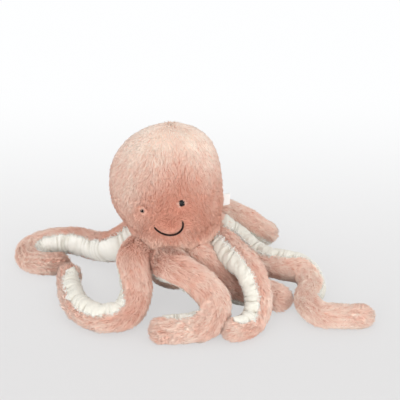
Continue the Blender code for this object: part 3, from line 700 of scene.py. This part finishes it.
class Arm:
    """The course of one arm: its middle line, its radius and the side of its pale strip."""

    def __init__(self, root, route, plump):
        self.plump = plump
        start = (0.0, 0.0, (ROOT_HEIGHT - ARM_ROOT_RADIUS + FLOOR_PRESS) / ROOT_HEIGHT, route[0][3])
        points = np.array((start, *route)) * (ARM_LENGTH, ARM_LENGTH, ROOT_HEIGHT, 1.0)
        points[:, :2] += root[:2]
        curve = smooth_curve(points, CURVE_SAMPLES)
        self.line = np.maximum(curve[:, :3], LOWEST)
        self.run = running(distance(np.diff(self.line, axis=0)))
        self.length = self.run[-1]
        self.last = self.length - ARM_TIP_RADIUS
        self.side = np.radians(curve[:, 3])
        self.line[:, 2] += self.shank_radius(self.run) - FLOOR_PRESS
        self.along = unit(np.gradient(self.line, axis=0))
        self.down = np.empty_like(self.along)
        direction = -UP
        for index, along in enumerate(self.along):
            direction = unit(direction - along * direction.dot(along))
            self.down[index] = direction

    def shank_radius(self, run):
        """Outer radius at a distance along the arm, tapering evenly to the tip."""
        return ARM_ROOT_RADIUS + (ARM_TIP_RADIUS - ARM_ROOT_RADIUS) * np.clip(run / self.length, 0.0, 1.0)

    def radius(self, run):
        """Outer radius r * sqrt(1 - past^2), where past runs to -1 or 1 over the half ball at an end."""
        past = np.where(run < 0.0, run / ARM_ROOT_RADIUS, np.maximum(run - self.last, 0.0) / ARM_TIP_RADIUS)
        shank = self.shank_radius(np.minimum(run, self.last))
        return shank * np.sqrt(np.clip(1.0 - past ** 2, 0.0, 1.0)), past

    def axes(self, run):
        """Middle point, forward, pale and sideways directions at distances along the arm."""
        inside = np.clip(run, 0.0, self.length)
        middle, along, down = (
            join(*(np.interp(inside, self.run, part) for part in line.T))
            for line in (self.line, self.along, self.down))
        along = unit(along)
        middle = middle + along * (run - inside)[..., None]
        down = unit(down - along * (along * down).sum(axis=-1, keepdims=True))
        side = np.interp(inside, self.run, self.side)[..., None]
        pale = down * np.cos(side) + np.cross(along, down) * np.sin(side)
        return middle, along, pale, np.cross(along, pale)

    def surface(self, run, angle, swell=0.0):
        """Points at angles from the pale direction, swell outside the arm, with outward and forward.

        The pile fills the creases where the arm is sewn on by fill * exp(-(run / reach)^2),
        and a plump arm is fuller by its own measure past them.
        """
        middle, along, pale, across = self.axes(run)
        radius, past = self.radius(run)
        spoke = np.cos(angle)[..., None] * pale + np.sin(angle)[..., None] * across
        out = unit(spoke * np.sqrt(np.clip(1.0 - past ** 2, 0.0, 1.0))[..., None] + along * past[..., None])
        swell = swell + ROOT_FILL * spot(run, ROOT_FILL_REACH) + self.plump * ease(run, *PLUMP_RISE)
        points = middle + spoke * radius[..., None] + out * swell[..., None]
        return np.maximum(points, LOWEST), out, along

    def window(self, run):
        """Half angle of the pale strip, wider by the root and closing to nothing just before the tip."""
        taper = np.clip((self.last + 2 * MM - run) / (24 * MM), 0.0, 1.0) ** 0.55
        return math.radians(STRIP_HALF_ANGLE) * taper * (1.0 + 0.3 * spot(run, 55 * MM))


def inside_bag(points, depth):
    """True where points lie deeper in the bag than a depth."""
    height = points[..., 2]
    level = np.hypot(points[..., 0] - lean(height), points[..., 1])
    return (level < np.interp(height, *OUTLINE.T) - depth) & (height < BODY_HEIGHT)


def arm_depth(points, run, seed, tone):
    """How deep a salmon an arm's fur shows: its own tone, deeper by the body and in soft patches."""
    return tone + 0.18 * spot(run, 110 * MM) + 0.14 * waves(points, 70 * MM, seed)


def arm_fur(arm, seed, tone):
    """One arm's fur: a closed tapering tube with tufts all round but on its pale strip.

    Tufts lie towards the tip, and beside the strip they lean over its edge.
    """
    shape = Shape()
    run = np.concatenate([
        -ARM_ROOT_RADIUS * np.sin(np.linspace(QUARTER, 0.0, 8)[1:-1]),
        np.linspace(0.0, arm.last, int(arm.length / ARM_ROW_STEP)),
        arm.last + ARM_TIP_RADIUS * np.sin(np.linspace(0.0, QUARTER, 9)[1:-1]),
    ])[:, None]
    angle = np.arange(ARM_COLUMNS) * TAU / ARM_COLUMNS
    window = arm.window(run)
    off_strip = np.abs((angle + math.pi) % TAU - math.pi) - window
    bed = (STRIP_BED - ARM_SKIN_INSET) * (1.0 - ease(off_strip, -0.25, 0.0)) * (window > 0.2)
    rings = arm.surface(run, angle, -ARM_SKIN_INSET - bed * ease(run, 0.0, 12 * MM))[0]
    poles = arm.axes(np.array([ARM_SKIN_INSET - ARM_ROOT_RADIUS, arm.length - ARM_SKIN_INSET]))[0]
    deep = np.concatenate([arm_depth(rings, run, seed, tone).ravel(), [0.5, 0.3]])
    add_tube(shape, rings, np.maximum(poles, LOWEST), SKIN_WINDOW, reach=0.25, tint=0.0, deep=deep)

    whole = arm.length + ARM_ROOT_RADIUS
    first, second = spread(int(TAU * ARM_MEAN_RADIUS * whole / ARM_TUFT_AREA), 0.137 * seed)
    run, angle = first * whole - ARM_ROOT_RADIUS, (second - 0.5) * TAU
    points, out, along = arm.surface(run, angle)
    window = arm.window(run)
    keep = (np.abs(angle) > window - 0.02) | (run > arm.last + 1 * MM) | (run < 5 * MM)
    keep &= ~inside_bag(points, 3 * MM)
    keep &= ~((points[:, 2] < 0.8 * MM) & (out[:, 2] < -0.5))
    run, angle, points, out, along, window = pick(keep, run, angle, points, out, along, window)

    chance = np.random.default_rng(seed)
    size = len(points)
    sideways = np.cross(along, out)
    edge = spot(np.abs(angle) - window, 0.22) * (window > 0.05)
    circle = join(0.0, -np.sin(angle), np.cos(angle))
    flat = join(run * LOCK_STRETCH_SHARE, LOCK_GIRTH * np.cos(angle), LOCK_GIRTH * np.sin(angle))
    lift, pull = locks(flat, circle * MM, seed + 90)
    lay = along + 0.26 * wave_vector(points, 34 * MM, seed) + 0.10 * wave_vector(points, 11 * MM, seed + 50)
    lay += 0.15 * chance.normal(size=(size, 3)) + 0.22 * pull[:, None] * sideways
    lay -= (0.35 * edge * np.sign(angle))[:, None] * sideways
    length = 1.0 + 0.15 * waves(points, 15 * MM, seed + 9) + 0.14 * chance.normal(size=size)
    length *= TUFT_LENGTH * (1.0 - 0.3 * edge)
    stand = TUFT_STAND - 16.0 * spot(run, 55 * MM) + 5.0 * lift + 3.0 * chance.normal(size=size)
    width = tuft_widths(TUFT_WIDTH, size, chance)
    tint = chance.uniform(-1.0, 1.0, size)
    # Painted shade: deeper in the hollows between locks, and a few tufts darker as painted shadow lines.
    deep = arm_depth(points, run, seed, tone) - 0.12 * lift + 0.5 * (chance.random(size) < 0.04)
    add_tufts(
        shape, points - out * (ARM_SKIN_INSET + TUFT_SINK), out, lay, length, width,
        np.radians(stand), tint, deep)
    return shape


def ruching(run, across, seed, chance):
    """How far a gathered strip stands out, how wide it lies and how much painted shade it takes in its
    creases, gathers and edges.

    With s from -1 to 1 across it and a wandering phase p along it, the surface
    stands out by rise + crown * (1 - s^2) - depth * fade * (1 - |sin(pi * p)|^0.6)
    less the finer gathers near the seams, and sinks under the fur at both edges
    and where it starts.
    """
    slant, bow = chance.uniform(-0.25, 0.25), chance.uniform(-0.2, 0.2)
    line, flat, edge = join(run, 0.0, 0.0), join(run, across * 16 * MM, 0.0), np.abs(across)
    phase = run / PUCKER_PITCH + 0.8 * waves(line, 46 * MM, seed) + 0.34 * waves(line, 19 * MM, seed + 1)
    phase = phase + slant * across + bow * across ** 2 + 0.24 * waves(flat, 17 * MM, seed + 2)
    fade = np.clip(0.42 + 0.8 * edge ** 1.3 + 0.45 * waves(flat, 26 * MM, seed + 8), 0.0, 1.0)
    main = fade * crease(phase, 0.6)
    fine_phase = 2.6 * phase + 0.5 * waves(flat, 20 * MM, seed + 3) + np.where(across > 0.0, 0.37, 0.0)
    fine = crease(fine_phase, 0.7) * edge ** 1.5
    plump = np.clip(0.72 + 0.45 * waves(flat, 24 * MM, seed + 4), 0.15, 1.3)
    swell = STRIP_RISE + STRIP_CROWN * (1.0 - across ** 2)
    swell = swell - PUCKER_DEPTH * plump * main * (1.0 - 0.5 * across ** 6) - GATHER_DEPTH * fine
    swell -= 2.2 * MM * ease(edge, 0.88, 1.0) + 7 * MM * ease(run, 8 * MM, run[0])
    swell += 0.7 * MM * waves(flat, 22 * MM, seed + 6) + 0.4 * MM * waves(flat, 6 * MM, seed + 5)
    width = 1.04 - 0.05 * main + 0.05 * waves(line, 7 * MM, seed + 7)
    # The last value is painted shade: darker in the creases and gathers and towards the edges under the fur.
    return swell, width, np.clip(0.9 * main + 0.4 * fine + 0.3 * ease(edge, 0.8, 1.0), 0.0, 1.0)


def ruched_strip(arm, seed, painted_light):
    """The pale underside: cloth gathered along both seams, with its thickness and a fringe."""
    start, end = -0.2 * ARM_ROOT_RADIUS, arm.last + 1 * MM
    run = np.linspace(start, end, int((end - start) / STRIP_STEP))[:, None]
    across = np.sin(np.linspace(-1.0, 1.0, STRIP_COLUMNS) * QUARTER * 0.97)
    chance = np.random.default_rng(seed + 70)
    swell, width, hollow = ruching(run, across, seed, chance)
    angle = across * arm.window(run) * width
    outer = arm.surface(run, angle, swell)[0]
    inner = arm.surface(run, angle, np.minimum(swell, 0.0) - STRIP_CLOTH)[0]
    number = np.arange(angle.size).reshape(angle.shape)
    rim = np.concatenate([number[0, :-1], number[:-1, -1], number[-1, :0:-1], number[:0:-1, 0], [0]])
    shape = Shape()
    # The inner side of the cloth takes full painted shade.
    shape.add(np.stack([outer, inner]), [
        grid_faces(*angle.shape, (0.0, 0.0, 1.0, 0.6)),
        flipped(*grid_faces(*angle.shape, (0.0, 0.61, 1.0, 0.80), first=angle.size)),
        band_faces(rim, rim + angle.size, (0.0, 0.81, 1.0, 0.82)),
    ], hollow=np.concatenate([hollow.ravel() - painted_light, np.ones(hollow.size)]))
    add_fringe(shape, arm, run[:, 0], angle, outer, chance)
    return shape


def add_fringe(shape, arm, run, angle, outer, chance):
    """Short fibres along both edges of a strip that stand out over the fur."""
    row = np.repeat(np.arange(2, len(run) - 8), len(FRINGE_COLUMNS))
    column = np.resize(FRINGE_COLUMNS, len(row))
    size = len(row)
    out, along = arm.surface(run[row], angle[row, column])[1:]
    lay = -np.sign(column)[:, None] * np.cross(along, out) + 0.9 * chance.normal(size=(size, 3))
    # hollow of -1 makes the fringe whiter: painted light against the shade of the groove it lies in.
    add_tufts(
        shape, outer[row, column] - 0.3 * MM * out, out, lay, 5.0 * MM * chance.uniform(0.5, 1.2, size),
        1.5 * MM * chance.uniform(0.7, 1.2, size), np.radians(chance.uniform(8.0, 38.0, size)),
        np.zeros(size), np.zeros(size), (0.0, 0.84, 1.0, 1.0), hollow=-1.0)


# Face, label and base

def turned(profile, place, axes, segments=40):
    """A closed solid turned about the last of three axes from (radius, height) pairs, 0 at both ends."""
    radius, height = np.array(profile).T[..., None]
    angle = np.arange(segments) * TAU / segments
    rings = join(radius * np.cos(angle), radius * np.sin(angle), height) @ np.array(axes) + place
    shape = Shape()
    add_tube(shape, rings[1:-1], rings[[0, -1], 0], (0.02, 0.02, 0.98, 0.98))
    return shape


def bead(side):
    """A bead eye: a dome (r * cos, crown * sin) with a rounded rim, on its shank."""
    crown = EYE_CROWN - EYE_SINK
    bend = np.linspace(0.0, QUARTER, 14)[:-1]
    profile = [
        (0.0, -SHANK_LENGTH), (SHANK_RADIUS - 0.4 * MM, -SHANK_LENGTH),
        (SHANK_RADIUS, 0.4 * MM - SHANK_LENGTH), (SHANK_RADIUS, -EYE_SINK - 0.4 * MM),
        (SHANK_RADIUS + 0.6 * MM, -EYE_SINK), (EYE_RADIUS - 0.5 * MM, -EYE_SINK),
        (EYE_RADIUS, -0.4 * EYE_SINK), *zip(EYE_RADIUS * np.cos(bend), crown * np.sin(bend)), (0.0, crown),
    ]
    out, _, across = bag_axes(*face_spot(side * EYE_SPACING / 2, 0.0))
    return turned(profile, eye_place(side), (across, np.cross(out, across), out))


def smile():
    """Satin stitch along the mouth line: a flattened tube ribbed across by its threads.

    Its radius is r * (1 + 0.09 * cos(threads * 2 pi * share)), thinned to its two ends.
    """
    columns, share = 14, np.linspace(0.0, 1.0, 600)
    run, turn = mouth_line(len(share))
    out = bag_axes(run, turn)[0]
    height = 2.0 * MM * ease(share, 0.0, 0.07) * ease(share, 1.0, 0.88) - 0.2 * MM
    line = bag(run, turn) + out * height[:, None]
    side = unit(np.cross(unit(np.gradient(line, axis=0)), out))
    girth = STITCH_RADIUS * (1.0 + 0.09 * np.cos(STITCH_THREADS * TAU * share))
    girth *= (4 * share * (1 - share)).clip(0.0, 1.0) ** 0.16
    angle = np.arange(columns)[::-1, None] * TAU / columns
    rings = line[:, None] + girth[:, None, None] * (
        np.cos(angle) * side[:, None] + 0.8 * np.sin(angle) * out[:, None])
    shape = Shape()
    add_tube(shape, rings[1:-1], line[[0, -1]], (0.0, 0.0, 1.0, 1.0),
             share=np.concatenate([np.repeat(share[1:-1], columns), [0.0, 1.0]]))
    return shape


def folded_label():
    """A ribbon folded double: its two layers run out, round a fold and back, with a slight wave."""
    run, turn, pointing = outline_run(LABEL_HEIGHT), math.radians(LABEL_TURN), math.radians(LABEL_POINTING)
    foot = bag(run, turn) + bag_axes(run, turn)[0] * 0.6 * MM
    forward = np.array((math.sin(pointing), -math.cos(pointing), 0.0))
    through = np.cross(forward, UP)
    bend = np.linspace(0.0, math.pi, 9)[1:-1]
    straight = np.linspace(0.0, LABEL_REACH - LABEL_FOLD, 24)
    reach = np.concatenate([straight, straight[-1] + LABEL_FOLD * np.sin(bend), straight[::-1]])
    depth = LABEL_FOLD * np.concatenate([np.full(24, -1.0), -np.cos(bend), np.ones(24)])
    depth = (depth * (0.55 + 0.45 * ease(reach, 0.0, LABEL_REACH)))[:, None]
    reach = reach[:, None]
    rise = np.linspace(-0.5, 0.5, 20)
    wave = 0.5 * MM * np.sin(4.0 * rise) * reach / LABEL_REACH
    aside = unit(np.hstack([np.gradient(depth, axis=0), -np.gradient(reach, axis=0)])) * LABEL_WALL / 2
    outer, inner = (
        foot + join(reach + way * aside[:, :1], depth + way * aside[:, 1:] + wave, rise * LABEL_WIDTH)
        @ np.array((forward, through, UP))
        for way in (1.0, -1.0))
    rings = np.concatenate([outer, inner[:, ::-1]], axis=1)
    number = np.arange(rings[..., 0].size).reshape(rings.shape[:2])
    first, last = ((row[:len(rise)], row[:len(rise) - 1:-1]) for row in (number[0], number[-1]))
    shape = Shape()
    shape.add(rings, [
        grid_faces(*number.shape, (0.0, 0.0, 1.0, 0.9), wrap=True),
        band_faces(*first, (0.0, 0.92, 1.0, 0.95)),
        flipped(*band_faces(*last, (0.0, 0.96, 1.0, 0.99))),
    ])
    return shape


# Finishes

class Value:
    """A shader socket with arithmetic: each operator adds the Math node it names."""

    def __init__(self, book, socket):
        self.book, self.socket = book, socket

    def math(self, operation, *others):
        """This value and others through one Math node."""
        return self.book.value("ShaderNodeMath", {"operation": operation}, dict(enumerate((self, *others))))

    def __add__(self, other):
        return self.math("ADD", other)

    def __sub__(self, other):
        return self.math("SUBTRACT", other)

    def __rsub__(self, other):
        return self.math("MULTIPLY_ADD", -1.0, other)

    def __mul__(self, other):
        return self.math("MULTIPLY", other)

    __radd__, __rmul__ = __add__, __mul__

    def ranged(self, low, high, start=0.0, end=1.0):
        """This value carried smoothly from low..high to start..end."""
        return self.book.value(
            "ShaderNodeMapRange", {"interpolation_type": "SMOOTHSTEP"},
            {"Value": self, "From Min": low, "From Max": high, "To Min": start, "To Max": end})


class Finish:
    """A material written as a book of nodes."""

    def __init__(self, name, **sockets):
        self.material = bpy.data.materials.new(name)
        self.material.use_nodes = True
        self.tree = self.material.node_tree
        self.shader = self.tree.nodes["Principled BSDF"]
        self.show(**sockets)

    def feed(self, socket, value):
        """Link a socket to a value, or set it to a number or an opaque colour."""
        if isinstance(value, Value):
            self.tree.links.new(value.socket, socket)
        else:
            socket.default_value = (*value, 1.0) if isinstance(value, tuple) else value

    def node(self, kind, settings=None, values=None):
        """One node: its settings first, then the values or links of its sockets."""
        made = self.tree.nodes.new(kind)
        for setting, value in (settings or {}).items():
            setattr(made, setting, value)
        for socket, value in (values or {}).items():
            self.feed(made.inputs[socket], value)
        return made

    def value(self, kind, settings=None, values=None, output=0):
        """The output of one new node."""
        return Value(self, self.node(kind, settings, values).outputs[output])

    def attribute(self, name):
        """A value stored at the piece's own points."""
        return self.value("ShaderNodeAttribute", {"attribute_name": name}, output="Fac")

    def place(self):
        """The place on the object, in metres."""
        return self.value("ShaderNodeTexCoord", output="Object")

    def noise(self, scale, detail=2.0, roughness=0.5):
        """Noise over the object with so many cells in a metre."""
        return self.value("ShaderNodeTexNoise", {}, {
            "Vector": self.place(), "Scale": scale, "Detail": detail, "Roughness": roughness})

    def threads(self, axis, scale, distortion):
        """Parallel threads one behind the other along an axis of the object."""
        return self.value("ShaderNodeTexWave", {"bands_direction": axis, "wave_profile": "SIN"}, {
            "Vector": self.place(), "Scale": scale, "Distortion": distortion, "Detail": 1.0}, output="Fac")

    def mix(self, factor, first, second):
        """Two colours mixed by a factor."""
        return self.value(
            "ShaderNodeMix", {"data_type": "RGBA"}, {"Factor": factor, 6: first, 7: second}, output=2)

    def bump(self, height, distance, strength=1.0):
        """Relief from a height value, so many metres high."""
        return self.value(
            "ShaderNodeBump", {}, {"Height": height, "Distance": distance, "Strength": strength})

    def show(self, **sockets):
        """Feed the shader's own sockets, and return the material."""
        for socket, value in sockets.items():
            self.feed(self.shader.inputs[socket.replace("_", " ")], value)
        return self.material


def fur_finish():
    """Peach fur: pale tips over darker salmon roots, the roots' darkness being painted shade in the pile,
    and the whole deeper where the tufts' deep value says.
    """
    fur = Finish(
        "peach_fur", Roughness=0.85, Specular_IOR_Level=0.05,
        Sheen_Weight=0.05, Sheen_Roughness=0.4, Sheen_Tint=(1.0, 0.72, 0.62))
    depth = fur.attribute("deep") + (fur.noise(45.0, 3.0) - 0.5) * 0.30 + fur.attribute("tint") * 0.06
    depth = depth.ranged(-0.4, 1.2)
    # Painted shade: the roots and the skin beneath are darker and more salmon than the tips.
    tips = fur.mix(depth, (1.0, 0.90, 0.80), (0.82, 0.42, 0.31))
    roots = fur.mix(depth, (0.99, 0.73, 0.59), (0.64, 0.28, 0.20))
    return fur.show(Base_Color=fur.mix(fur.attribute("reach").ranged(0.0, 0.85), roots, tips))


def cream_finish():
    """Cream pile gathered in puckers, with painted shade in its creases and along its edges, painted light
    on its fringe, and a fine nap.
    """
    cream = Finish(
        "cream_cloth", Roughness=0.85, Specular_IOR_Level=0.2, Sheen_Weight=0.3, Sheen_Roughness=0.5)
    hollow, nap = cream.attribute("hollow"), cream.noise(900.0, 3.0, 0.65)
    # Painted shade: darker where hollow is high, in the creases, by the edges and on the inner side.
    tone = hollow.ranged(0.1, 1.0) * 0.75 + (nap - 0.5) * 0.3
    colour = cream.mix(tone.ranged(0.0, 1.0), (0.73, 0.70, 0.62), (0.56, 0.50, 0.41))
    # Painted light: the fringe is mixed towards white.
    colour = cream.mix(hollow.ranged(-1.0, 0.0, 1.0, 0.0), colour, (0.94, 0.92, 0.86))
    clumps = cream.value("ShaderNodeTexVoronoi", {"feature": "SMOOTH_F1"}, {
        "Vector": cream.place(), "Scale": 520.0, "Smoothness": 0.5}, output="Distance")
    return cream.show(Base_Color=colour, Normal=cream.bump(nap + clumps * 0.8, 0.7 * MM, 0.8))


def bead_finish():
    """Black moulded bead, polished, with faint handling marks in its gloss."""
    black = Finish("black_bead", Specular_IOR_Level=0.3)
    marks = black.noise(700.0, 4.0)
    colour = black.mix(marks, (0.004, 0.004, 0.005), (0.012, 0.010, 0.009))
    return black.show(Base_Color=colour, Roughness=marks.ranged(0.3, 0.8, 0.06, 0.16))


def thread_finish():
    """Dark brown satin stitch: each thread lies across the line, with a painted highlight on its crown."""
    thread = Finish(
        "brown_thread", Roughness=0.7, Specular_IOR_Level=0.25,
        Sheen_Weight=0.06, Sheen_Tint=(0.75, 0.55, 0.45))
    rib = (thread.attribute("share") * (STITCH_THREADS * TAU)).math("COSINE") * 0.5 + 0.5
    fibre = thread.noise(2600.0)
    # Painted highlight: each thread is lighter on its crown.
    colour = thread.mix(rib * fibre, (0.012, 0.006, 0.005), (0.045, 0.020, 0.014))
    return thread.show(Base_Color=colour, Normal=thread.bump(rib + fibre * 0.4, 0.25 * MM))


def ribbon_finish():
    """White ribbon with fine ribs along its height and a soft satin gloss."""
    ribbon = Finish("white_ribbon", Sheen_Weight=0.2)
    ribs, wear = ribbon.threads("Z", 520.0, 0.4), ribbon.noise(240.0, 3.0)
    colour = ribbon.mix(ribs * 0.5 + wear * 0.4, (0.90, 0.89, 0.86), (0.95, 0.945, 0.93))
    return ribbon.show(
        Base_Color=colour, Roughness=wear.ranged(0.2, 0.8, 0.42, 0.6), Normal=ribbon.bump(ribs, 0.12 * MM))


def canvas_finish():
    """Cream woven cloth under the body: two crossed sets of threads."""
    canvas = Finish("cream_canvas", Roughness=0.9, Sheen_Weight=0.15)
    weave = canvas.threads("X", 330.0, 0.6).math("MAXIMUM", canvas.threads("Y", 330.0, 0.6))
    soil = canvas.noise(60.0, 4.0)
    colour = canvas.mix(weave * 0.6 + soil * 0.4, (0.66, 0.62, 0.52), (0.87, 0.84, 0.75))
    return canvas.show(Base_Color=colour, Normal=canvas.bump(weave, 0.3 * MM))


def washer_finish():
    """Milky moulded plastic of the eyes' washers, with flow marks."""
    plastic = Finish("washer_plastic")
    flow = plastic.noise(300.0, 3.0)
    colour = plastic.mix(flow, (0.74, 0.74, 0.71), (0.83, 0.83, 0.80))
    return plastic.show(Base_Color=colour, Roughness=flow.ranged(0.3, 0.7, 0.32, 0.48))


# The stage

def sweep_finish():
    """White paper that glows a little to the camera, more so towards the wall."""
    white = Finish("sweep_white", Roughness=0.9, Specular_IOR_Level=0.0)
    far = white.value("ShaderNodeSeparateXYZ", {}, {"Vector": white.place()}, output="Y")
    far = far.ranged(-0.36, 0.68)
    shade = far + (white.noise(1.5) - 0.5) * 0.06
    white.show(Base_Color=white.mix(shade, (0.92, 0.915, 0.915), (0.94, 0.94, 0.94)))
    path = white.node("ShaderNodeLightPath")
    seen = sum(Value(white, path.outputs[f"Is {ray} Ray"]) for ray in ("Camera", "Glossy", "Transmission"))
    pale = white.mix(far, (0.665, 0.657, 0.655), (0.99, 0.995, 1.0))
    glow = white.value("ShaderNodeEmission", {}, {"Color": pale, "Strength": 1.0})
    paper = Value(white, white.shader.outputs[0])
    surface = white.value(
        "ShaderNodeMixShader", {}, {"Fac": (far * 0.25 + 0.75) * seen, 1: paper, 2: glow})
    white.feed(white.tree.nodes["Material Output"].inputs["Surface"], surface)
    return white.material


def backdrop():
    """A white sweep: level floor, then a quarter circle up into a wall."""
    bend = np.linspace(0.0, QUARTER, 24)[1:]
    floor = [-SWEEP_SIZE, *np.linspace(-1.2, SWEEP_REACH, 30)]
    y = np.concatenate([floor, SWEEP_REACH + SWEEP_RADIUS * np.sin(bend), [SWEEP_REACH + SWEEP_RADIUS]])
    z = np.concatenate([np.zeros(len(floor)), SWEEP_RADIUS * (1.0 - np.cos(bend)), [SWEEP_SIZE]])
    x = np.linspace(-SWEEP_SIZE, SWEEP_SIZE, 40)
    shape = Shape()
    shape.add(
        join(x, y[:, None], z[:, None] - 0.25 * MM), [grid_faces(len(y), len(x), (0.0, 0.0, 1.0, 1.0))])
    obj = put("backdrop", shape.mesh("backdrop"))
    obj.data.materials.append(sweep_finish())


def soft_box(name, place, target, size, power):
    """A square area light that faces a point."""
    lamp = bpy.data.lights.new(name, "AREA")
    lamp.shape, lamp.size, lamp.energy = "SQUARE", size, power
    obj = put(name, lamp)
    obj.location = place
    obj.rotation_euler = (Vector(target) - Vector(place)).to_track_quat("-Z", "Y").to_euler()


def studio():
    """The camera at the photograph's angle, a pale even world and the soft boxes."""
    camera = bpy.data.cameras.new("camera")
    camera.lens = camera.sensor_width / 2 / math.tan(math.radians(CAMERA_HALF_ANGLE))
    obj = put("camera", camera)
    obj.location = CAMERA_PLACE
    obj.rotation_euler = (math.radians(CAMERA_TILT), 0.0, 0.0)
    scene = bpy.context.scene
    scene.camera = obj
    scene.view_settings.view_transform = "Standard"
    scene.world = bpy.data.worlds.new("pale_room")
    scene.world.use_nodes = True
    background = scene.world.node_tree.nodes["Background"].inputs
    background["Color"].default_value = (0.98, 0.99, 1.0, 1.0)
    background["Strength"].default_value = 1.0
    for name, lamp in LAMPS.items():
        soft_box(name, *lamp)


def dress():
    """Make every piece of the toy."""
    fur, cream, black = fur_finish(), cream_finish(), bead_finish()
    add_piece(
        "body_front_fur", head_fur(0.0, 0.31), fur, "body",
        ("body_front_panel", "body_filling"))
    add_piece(
        "body_back_fur", head_fur(math.pi, 0.67), fur, "body",
        ("body_back_panel", "pellet_bag"))
    radius, top = PANEL_RADIUS, PANEL_THICKNESS
    disc = [
        (0.0, 0.0), (radius - 2 * MM, 0.0), (radius - 0.5 * MM, 0.5 * MM), (radius, 1.5 * MM),
        (radius - 0.5 * MM, top - 0.4 * MM), (radius - 2 * MM, top), (0.0, top),
    ]
    add_piece(
        "base_cloth", turned(disc, np.zeros(3), np.eye(3), 64), canvas_finish(), "body",
        ("base_panel",))
    for word, side in (("left", -1.0), ("right", 1.0)):
        add_piece("bead_" + word, bead(side), black, "body", ("eye_" + word,))
    add_piece("smile_stitch", smile(), thread_finish(), "body", ("mouth_stitch",))
    add_piece("folded_ribbon", folded_label(), ribbon_finish(), "body", ("ribbon_label",))
    plastic = washer_finish()
    for word in ("left", "right"):
        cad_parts["eye_washer_" + word].material_slots[0].material = plastic

    for index, (root, (name, route)) in enumerate(zip(root_points(), ARM_ROUTE_SHARES.items())):
        arm, body = Arm(root, route, PLUMP.get(name, 0.0)), "arm_" + name
        add_piece(
            body + "_fur", arm_fur(arm, 11 + 7 * index, FUR_TONES_AND_LIGHT.get(name, FUR_TONE)), fur, body,
            (body + "_sleeve", body + "_filling"))
        add_piece(
            body + "_ruching", ruched_strip(arm, 200 + 11 * index, STRIP_PAINTED_LIGHT.get(name, 0.0)), cream, body,
            (body + "_underside",))


studio()
backdrop()
dress()
